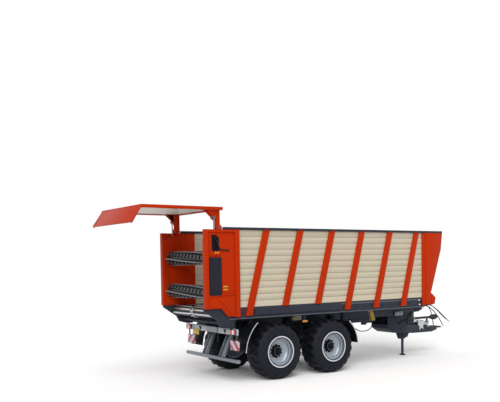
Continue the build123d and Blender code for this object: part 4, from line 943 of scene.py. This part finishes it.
class TRAILER_OT_lights(bpy.types.Operator):
    """Build the light bar with its lamps, reflectors, blank plate and striped boards"""
    bl_idname = "trailer.lights"
    bl_label = "Lights and bumper"

    def lens(self, name, side, bounds, look):
        trim(name, boxes(bounds, side=side), "lamp_plastic", look, edge=0.25, segments=3)

    def execute(self, context):
        dress("light_bar", 0.35)
        dress("warning_boards", 0.1)
        dress("underrun_bumper", 0.3, "galvanised")
        dress("bumper_legs", 0.15, "galvanised")
        for side, hand in HANDS:
            for name, x0, x1, y0, y1, z0, z1, look in (
                    ("lamp_housing_", -69.5, -68.5, 32.9, 41.8, 39.2, 43.6, "black_plastic"),
                    ("tail_lamp_", -69.8, -69.3, 33.3, 36.2, 39.6, 43.2, "lamp_plastic"),
                    ("reversing_lamp_", -69.8, -69.3, 36.4, 38.9, 39.6, 43.2, "clear_lens"),
                    ("turn_lamp_", -69.8, -69.3, 39.1, 41.4, 39.6, 43.2, "lamp_plastic")):
                self.lens(name + hand, side, (x0, x1, y0, y1, z0, z1), look)
            mark = bmesh.new()
            y = 17.3 if side > 0 else -23.9
            slab(mark, [at(-69.0, y - 2.0, 42.9), at(-69.0, y + 2.0, 42.9), at(-69.0, y, 39.6)],
                 (0.5 * MM, 0, 0))
            trim("triangle_reflector_" + hand, mark, "bar_plastic", "hub_dark")
            for number, (x, look) in enumerate((
                    (-5.0, "amber_dark"), (78.0, "amber_dark"), (150.0, "clear_lens"))):
                self.lens(f"side_lamp_{hand}_{number}", side,
                          (x - 1.6, x + 1.6, 35.2, 36.8, 49.9, 51.45), look)
        trim("blank_plate", boxes((-69.1, -68.6, 19.8, 30.4, 35.3, 39.8)), "lamp_plastic",
             "yellow_plastic", edge=0.15, stands_for=("lamps",))
        trim("light_bar_box", boxes((-69.7, -68.6, -12.5, 6.0, 39.3, 44.0)), "bar_plastic",
             "galvanised", edge=0.3)
        return {"FINISHED"}


class TRAILER_OT_running_gear(bpy.types.Operator):
    """Dress the axles, springs and mudguards, with painted highlights on the guards' edges, bolts
    and clamps
    """
    bl_idname = "trailer.running_gear"
    bl_label = "Running gear"

    def edge_strip(self, side, x, radius, top, way, proud):
        """A bright strip painted as the highlight round the outer edge of a mudguard, up to an
        angle in degrees.
        """
        shape = bmesh.new()
        low, steps = 3, 24
        rings = []
        for i in range(steps + 1):
            angle = radians(low + (top - low) * i / steps)
            rings.append([shape.verts.new(at(
                x + way * r * cos(angle), side * y, TYRE_R + r * sin(angle)))
                for r, y in ((radius - 0.25, 45.2), (radius + proud, 45.2),
                             (radius + proud, 46.1), (radius - 0.25, 46.1))])
        bridge(shape, rings)
        cap(shape, rings)
        return from_bmesh("strip", shape)

    def execute(self, context):
        dress("axles", 0.2, "hub_dark")
        dress("springs", 0.12, "hub_dark")
        dress("mudguards", 0.15, "hub_dark")
        for side, hand in HANDS:
            # Bright zinc strips on the guards' outer edges: painted highlights
            strips = [self.edge_strip(side, HALF_BASE, 27.65, 50, 1, 0.75),
                      self.edge_strip(side, -HALF_BASE, 33.95, 49, -1, 0.4)]
            settle(joined("mudguard_highlights_" + hand, strips), "trailer", "dark_paint",
                   "steel_bright")
        for side, hand in HANDS:
            places = [at(x, side * y, 28.9) for x in (26.3, 30.3) for y in (15.2, 18.0)]
            trim("spring_clamps_" + hand, bolts(places, (0, 0, 1), 0.6, 0.7), "dark_paint",
                 "steel_bright", row=(2, (-2 * HALF_BASE, 0, 0)))
        return {"FINISHED"}


class TRAILER_OT_guard(bpy.types.Operator):
    """Build the front guard: its frames, woven wires, flap and ram"""
    bl_idname = "trailer.guard"
    bl_label = "Front guard"

    def wires(self, name, node, low, high, half):
        """Fine wires both ways between two lines across the trailer."""
        sizes = bpy.context.scene.trailer_sizes
        low, high = at(low[0], 0, low[1]), at(high[0], 0, high[1])
        up = high - low
        normal = Vector((0, 1, 0)).cross(up).normalized() * sizes.wire / 2
        width = Vector((0, half * MM, 0))
        edge = up.normalized() * sizes.wire / 2
        count = int(up.length / sizes.wire_pitch)
        shape = bmesh.new()
        slab(shape, [low - width - edge, low + width - edge, low + width + edge,
                     low - width + edge], normal)
        rows = from_bmesh(name + "_rows", shape)
        copied(rows, "wire", count + 1, step=up / count)
        columns = int(2 * half * MM / sizes.wire_pitch)
        shape = bmesh.new()
        side = Vector((0, sizes.wire / 2, 0))
        slab(shape, [low - width - side, low - width + side, high - width + side,
                     high - width - side], -normal)
        lines = from_bmesh(name + "_lines", shape)
        copied(lines, "wire", columns + 1, step=(0, 2 * half * MM / columns, 0))
        settle(joined(name, [rows, lines]), BODY_OF[node], SLOT_OF[node], "wire", (node,))

    def execute(self, context):
        dress("guard_frame", 0.15)
        dress("flap_frame", 0.15)
        dress("flap_cylinder", 0.0, "hub_dark")
        dress("flap_rod", 0.0)
        self.wires("guard_wires", "guard_mesh", (160.2, 67.7), (169.3, 98.8), 33.2)
        self.wires("flap_wires", "flap_mesh", (171.1, 106.2), (174.4, 122.8), 32.2)
        return {"FINISHED"}


class TRAILER_OT_drawbar(bpy.types.Operator):
    """Dress the drawbar, jack, drive shaft, cylinders, tank, valve and chocks"""
    bl_idname = "trailer.drawbar"
    bl_label = "Drawbar"

    def damper_coils(self):
        """Ribs along the two suspension cylinders."""
        for side, hand in HANDS:
            rib = lathe([(1.9, -0.3), (2.45, -0.2), (2.45, 0.2), (1.9, 0.3)],
                        at(168.6, side * 3.6, 34.35), (1, 0, -0.193), 28)
            trim("damper_ribs_" + hand, rib, "steel_bright", row=(17, (1.18, 0, -0.228)))

    def damper_cheeks(self):
        """A bright plate with a notched edge on each side of the drawbar, at the cylinders."""
        outline = ((171.5, 34.6), (180.4, 34.0), (182.0, 30.6), (180.0, 29.2), (181.6, 25.8),
                   (177.4, 27.4), (173.6, 25.2), (174.2, 28.6), (171.5, 30.8))
        for side, hand in HANDS:
            def on_bar(x, z, out):
                """A place beside the drawbar, which narrows forward."""
                return at(x, side * (out - 0.17 * (x - 150)), z)
            cheek = bmesh.new()
            slab(cheek, [on_bar(x, z, 12.05) for x, z in outline], (0, side * 0.5 * MM, 0))
            bolts([on_bar(x, z, 12.5) for x, z in ((173.6, 32.6), (178.8, 32.0), (176.2, 29.0))],
                  (0, side, 0), 0.8, 0.5, cheek)
            trim("damper_cheek_" + hand, cheek, "steel_bright")

    def chassis_fittings(self):
        """The small parts that hang on the chassis: a valve block, an air tank between the
        axles, a grease tank and lamps under the sills."""
        trim("brake_valve_block", boxes(
            (131.6, 142.2, -16.4, -15.0, 42.7, 46.6), (133.0, 135.2, -17.0, -16.4, 43.4, 45.8),
            (138.2, 140.4, -17.0, -16.4, 43.4, 45.8)), "dark_paint", "galvanised", edge=0.2)
        trim("air_tank", lathe(
            [(0.0, -12.2), (2.2, -12.0), (3.9, -10.9), (4.4, -9.2), (4.4, 9.2), (3.9, 10.9),
             (2.2, 12.0), (0.0, 12.2)], at(-21.5, 0, 38.3), (0, 1, 0), 40),
            "dark_paint", "hub_dark")
        trim("air_tank_hanger", boxes(
            (-23.0, -20.0, -11.0, -9.6, 38.0, 43.0), (-23.0, -20.0, 9.6, 11.0, 38.0, 43.0),
            (-22.2, -20.8, -13.5, 13.5, 41.9, 43.1)), "dark_paint", edge=0.12)
        trim("grease_tank", boxes((-7.6, 1.4, -35.8, -31.4, 47.2, 51.5)), "yellow_plastic",
             "olive_plastic", edge=0.5, segments=3)
        trim("side_lamp_stay", boxes((4.4, 6.8, -34.2, -33.4, 45.0, 51.5)), "dark_paint",
             edge=0.1)
        trim("low_side_lamp", boxes((3.2, 8.2, -35.2, -34.0, 45.0, 46.7)), "lamp_plastic",
             "amber_lens", edge=0.2)
        for side, hand in HANDS:
            trim("marker_lamps_" + hand, boxes(
                (142.7, 144.5, 36.5, 37.2, 57.8, 59.0), (143.5, 145.3, 36.5, 37.2, 53.6, 54.8),
                side=side), "lamp_plastic", "clear_lens", edge=0.15)
        tray = [(167.0, 48.5), (186.0, 48.5), (186.0, 47.0), (178.4, 44.0), (167.0, 43.3)]
        trim("hose_tray", plates(
            (tray, -3.1, -2.5), (tray, 2.5, 3.1),
            ([(178.4, 44.0), (178.4, 44.6), (167.0, 43.9), (167.0, 43.3)], -3.0, 3.0),
            ([(186.0, 47.0), (186.0, 47.6), (178.4, 44.6), (178.4, 44.0)], -3.0, 3.0)),
            "dark_paint", edge=0.12)

    def pipework(self):
        """Hoses on the drawbar's side, pipes and a cover along the chassis beams, and the black
        brake pipe."""
        loops = [pipe(f"loop_{number}", points, 0.5) for number, points in enumerate((
            [(158.0, -10.4, 47.6), (157.6, -12.9, 44.0), (152.6, -13.2, 39.4),
             (150.6, -13.1, 35.2), (153.6, -12.9, 32.6)],
            [(140.4, -12.8, 33.4), (145.0, -13.1, 36.6), (151.2, -13.3, 37.4),
             (158.8, -12.6, 35.8), (163.0, -10.6, 36.2)],
            [(128.6, -12.7, 46.4), (134.8, -13.1, 45.0), (146.4, -13.2, 46.8),
             (157.4, -12.7, 46.0)]))]
        settle(joined("drawbar_hoses", loops), "trailer", "hose_rubber")
        for side, hand in HANDS:
            runs = [pipe("run", [(-24.0, side * y, z), (84.0, side * y, z)], 0.45,
                         straight=True) for y, z in ((12.2, 42.05), (12.9, 41.2))]
            settle(joined("chassis_pipes_" + hand, runs), "trailer", "dark_paint", "hub_dark")
        trim("brake_line_cover", boxes(
            (74.0, 104.0, -15.0, -11.0, 38.7, 42.7), (90.6, 95.4, -14.6, -11.4, 36.0, 38.9)),
            "dark_paint", edge=0.3)
        settle(pipe("brake_pipe", [
            (166.0, -6.4, 47.6), (165.2, -8.2, 48.2), (161.6, -10.0, 45.4),
            (158.2, -10.4, 40.0), (156.6, -10.4, 34.0), (155.6, -10.2, 30.4)], 0.5),
            "trailer", "hose_rubber")

    def jack_and_bolts(self):
        trim("jack_gussets", plates(
            ([(149.6, 24.4), (155.2, 24.0), (155.2, 17.0), (153.0, 17.0)], -2.0, 2.0),
            ([(160.0, 23.6), (166.0, 23.2), (163.0, 18.2), (160.0, 18.2)], -2.0, 2.0)),
            "dark_paint", edge=0.2)
        heads = bmesh.new()
        for x, y, z in ((131.0, 11.9, 30.0), (143.0, 11.9, 28.6), (175.0, 7.6, 26.4),
                        (190.0, 5.1, 24.9)):
            for side in (-1, 1):
                bolts([at(x, side * y, z)], (0, side, 0), 0.8, 0.5, heads)
        trim("drawbar_bolts", heads, "dark_paint", "hub_dark")

    def execute(self, context):
        for node, edge in (("drawbar", 0.3), ("headstock", 0.3), ("pto_shaft", 0.0),
                           ("drawbar_cylinders", 0.0), ("hose_holder", 0.2),
                           ("oil_tank", 0.5), ("jack_tube", 0.25)):
            dress(node, edge)
        dress("wheel_chocks", 0.2, "chock_plastic")
        dress("tow_eye", 0.25, "dark_paint")
        dress("jack_leg", 0.15, "dark_paint")
        dress("hydraulic_valve", 0.2)
        self.damper_coils()
        self.jack_and_bolts()
        self.damper_cheeks()
        self.chassis_fittings()
        self.pipework()
        settle(pipe("jack_crank", [
            (157.6, -2.2, 44.6), (157.6, -5.4, 44.6), (157.6, -5.9, 41.0), (157.6, -8.6, 41.0)],
            0.45, straight=True), "trailer", "dark_paint", "steel_bright")
        trim("valve_knob", lathe(
            [(0, -1.0), (0.9, -1.0), (1.1, 0.6), (0.6, 1.2), (0, 1.2)],
            at(156.6, 18.0, 44.2), (1, 0, -0.13), 20), "valve_brass", "red_plastic")
        return {"FINISHED"}


HOSES = {
    "hose_1": ((0.1573, 0.00055, 0.0501), (0.1614, 0.0006, 0.0507), (0.1664, 0.0007, 0.0507),
               (0.172, 0.0009, 0.0493), (0.178, 0.0014, 0.0464), (0.184, 0.002, 0.0426),
               (0.1898, 0.0026, 0.0384), (0.1952, 0.0032, 0.0349)),
    "hose_2": ((0.1573, -0.00055, 0.0501), (0.1614, -0.0006, 0.0505),
               (0.1663, -0.0007, 0.0503), (0.1716, -0.0009, 0.0488), (0.1772, -0.0012, 0.0457),
               (0.1826, -0.0017, 0.0416), (0.1878, -0.0022, 0.037), (0.1928, -0.0028, 0.0332)),
    "hose_3": ((0.1573, 0.00055, 0.049), (0.1614, 0.00065, 0.0493), (0.1658, 0.0009, 0.049),
               (0.17, 0.0016, 0.0469), (0.1737, 0.0028, 0.0434), (0.1767, 0.0042, 0.039),
               (0.1791, 0.0054, 0.0342), (0.1811, 0.0062, 0.0299)),
    "hose_4": ((0.1573, -0.00055, 0.049), (0.1614, -0.0005, 0.0492),
               (0.1656, -0.00045, 0.0487), (0.1696, -0.0008, 0.0464),
               (0.1732, -0.0019, 0.0432), (0.1766, -0.0032, 0.039), (0.1796, -0.0042, 0.0344),
               (0.1822, -0.0049, 0.0302)),
}
BRAKE_HOSE = (
    (0.1053, 0.02, 0.034), (0.1053, 0.02, 0.031), (0.1037, 0.0201, 0.0282),
    (0.1004, 0.0203, 0.0262), (0.0954, 0.0205, 0.0253), (0.0898, 0.0206, 0.0255),
    (0.0846, 0.0205, 0.0272), (0.0804, 0.0203, 0.0302), (0.0776, 0.0201, 0.0342),
    (0.0764, 0.02, 0.0388), (0.0764, 0.02, 0.0435),
)
HOSE_DIAMETER = 0.0009


class TRAILER_OT_hoses(bpy.types.Operator):
    """Lay the hydraulic and brake hoses and fit their couplings"""
    bl_idname = "trailer.hoses"
    bl_label = "Hoses"

    def hose(self, node, route):
        line = nurbs("hose_line_" + node, route, HOSE_DIAMETER / 2, steps=12, sides=4)
        hose = bpy.data.objects.new("rubber_" + node, line)
        bpy.context.collection.objects.link(hose)
        return settle(hose, "trailer", "hose_rubber", None, (node,))

    def coupling(self, node, route):
        """A plated coupling with a grip ring and a probe, in line with the hose's end."""
        end = Vector(route[-1])
        along = (end - Vector(route[-2])).normalized()
        profile = ((0.0, 0.0), (0.62, 0.0), (0.62, 1.1), (0.8, 1.1), (0.8, 2.3), (0.66, 2.4),
                   (0.66, 2.9), (0.8, 3.0), (0.8, 3.4), (0.45, 3.5), (0.45, 4.15), (0.0, 4.2))
        return trim("coupling_" + node, lathe(profile, end, along, 20), "steel_bright",
                    stands_for=("hose_couplings",))

    def execute(self, context):
        for node, route in HOSES.items():
            coupling = self.coupling(node, route)
            self.hose(node, route)
        self.hose("brake_hose", BRAKE_HOSE)
        return {"FINISHED"}


class TRAILER_OT_stage(bpy.types.Operator):
    """Set the white floor, the soft studio light and the camera of the photograph"""
    bl_idname = "trailer.stage"
    bl_label = "Stage"

    def seen(self, tree):
        """1 for the rays that show the background: the camera's, and those that gloss mirrors
        or glass lets through."""
        ray = add_node(tree, "ShaderNodeLightPath")
        direct = add_node(tree, "ShaderNodeMath", {"operation": "ADD"}, {
            0: ray.outputs["Is Camera Ray"], 1: ray.outputs["Is Glossy Ray"]})
        every = add_node(tree, "ShaderNodeMath", {"operation": "ADD", "use_clamp": True}, {
            0: direct.outputs[0], 1: ray.outputs["Is Transmission Ray"]})
        return every.outputs[0]

    def floor(self):
        """Matt white card, so wide that its edge never shows. The background's rays see it
        bright enough to be plain white in the open, and it keeps the trailer's soft shadow."""
        shape = bmesh.new()
        bmesh.ops.create_grid(shape, x_segments=1, y_segments=1, size=30)
        floor = from_bmesh("white_floor", shape)
        material, tree = new_finish("matt white card")
        card = add_node(tree, "ShaderNodeBsdfDiffuse", None, {"Color": (0.88, 0.88, 0.885, 1)})
        bright = add_node(tree, "ShaderNodeBsdfDiffuse", None, {"Color": (1.36, 1.36, 1.37, 1)})
        lit = add_node(tree, "ShaderNodeMixShader", None, {
            0: self.seen(tree), 1: card.outputs[0], 2: bright.outputs[0]})
        add_node(tree, "ShaderNodeOutputMaterial", None, {"Surface": lit.outputs[0]})
        floor.data.materials.append(material)

    def lights(self, scene):
        """A white room that lights softly and shows plain white, and two wide lamps."""
        world = bpy.data.worlds.new("white studio")
        scene.world = world
        world.use_nodes = True
        tree = world.node_tree
        tree.nodes.clear()
        room, white = (add_node(tree, "ShaderNodeBackground", None, {
            "Color": (1, 1, 1, 1), "Strength": strength}) for strength in (0.42, 1.0))
        mix = add_node(tree, "ShaderNodeMixShader", None, {
            0: self.seen(tree), 1: room.outputs[0], 2: white.outputs[0]})
        add_node(tree, "ShaderNodeOutputWorld", None, {"Surface": mix.outputs[0]})
        for name, strength, angle, lean in (("key", 0.9, 35, (32, -22, 0)),
                                            ("fill", 1.0, 30, (66, 0, -38))):
            lamp = bpy.data.lights.new(name + "_light", "SUN")
            lamp.energy = strength
            lamp.angle = radians(angle)
            thing = bpy.data.objects.new(name + "_light", lamp)
            thing.rotation_euler = [radians(a) for a in lean]
            bpy.context.collection.objects.link(thing)

    def camera(self, scene):
        """The camera fitted to the photograph's lower view."""
        yaw, pitch, roll = (radians(angle) for angle in CAMERA_TURN)
        ahead = Vector((cos(pitch) * cos(yaw), cos(pitch) * sin(yaw), sin(pitch)))
        right = ahead.cross(Vector((0, 0, 1))).normalized()
        up = right.cross(ahead)
        right, up = (right * cos(roll) + up * sin(roll), up * cos(roll) - right * sin(roll))
        lens = bpy.data.cameras.new("studio_camera")
        lens.sensor_width = SENSOR_MM
        lens.lens = FOCAL_PX * SENSOR_MM / PHOTO_WIDTH
        lens.shift_x = (PHOTO_WIDTH / 2 - CENTRE_PX[0]) / PHOTO_WIDTH
        lens.shift_y = (CENTRE_PX[1] - PHOTO_HEIGHT / 2) / PHOTO_WIDTH
        lens.clip_start = 0.01
        camera = bpy.data.objects.new("studio_camera", lens)
        turn = Matrix((right, up, -ahead)).transposed().to_4x4()
        camera.matrix_world = Matrix.Translation(CAMERA_PLACE) @ turn
        bpy.context.collection.objects.link(camera)
        scene.camera = camera

    def execute(self, context):
        scene = context.scene
        scene.view_settings.view_transform = "Standard"
        self.floor()
        self.lights(scene)
        self.camera(scene)
        return {"FINISHED"}


OPERATORS = (TRAILER_OT_stage, TRAILER_OT_hoses, TRAILER_OT_tyres, TRAILER_OT_rims,
             TRAILER_OT_body, TRAILER_OT_rear, TRAILER_OT_lights, TRAILER_OT_running_gear,
             TRAILER_OT_guard, TRAILER_OT_drawbar)


class TRAILER_PT_panel(bpy.types.Panel):
    """Lists the trailer's settings and its building steps"""
    bl_idname = "TRAILER_PT_panel"
    bl_label = "Silage trailer"
    bl_space_type = "VIEW_3D"
    bl_region_type = "UI"
    bl_category = "Trailer"

    def draw(self, context):
        for group in (context.scene.trailer_colours, context.scene.trailer_sizes):
            column = self.layout.column()
            for name in group.__annotations__:
                column.prop(group, name)
        for step in OPERATORS:
            self.layout.operator(step.bl_idname)


CLASSES = (TrailerColours, TrailerSizes) + OPERATORS + (TRAILER_PT_panel,)


def register():
    for kind in CLASSES:
        bpy.utils.register_class(kind)
    bpy.types.Scene.trailer_colours = bpy.props.PointerProperty(type=TrailerColours)
    bpy.types.Scene.trailer_sizes = bpy.props.PointerProperty(type=TrailerSizes)


def unregister():
    del bpy.types.Scene.trailer_sizes
    del bpy.types.Scene.trailer_colours
    for kind in reversed(CLASSES):
        bpy.utils.unregister_class(kind)


def main():
    register()
    for step in OPERATORS:
        area, name = step.bl_idname.split(".")
        getattr(getattr(bpy.ops, area), name)()


if __name__ == "__main__":
    main()
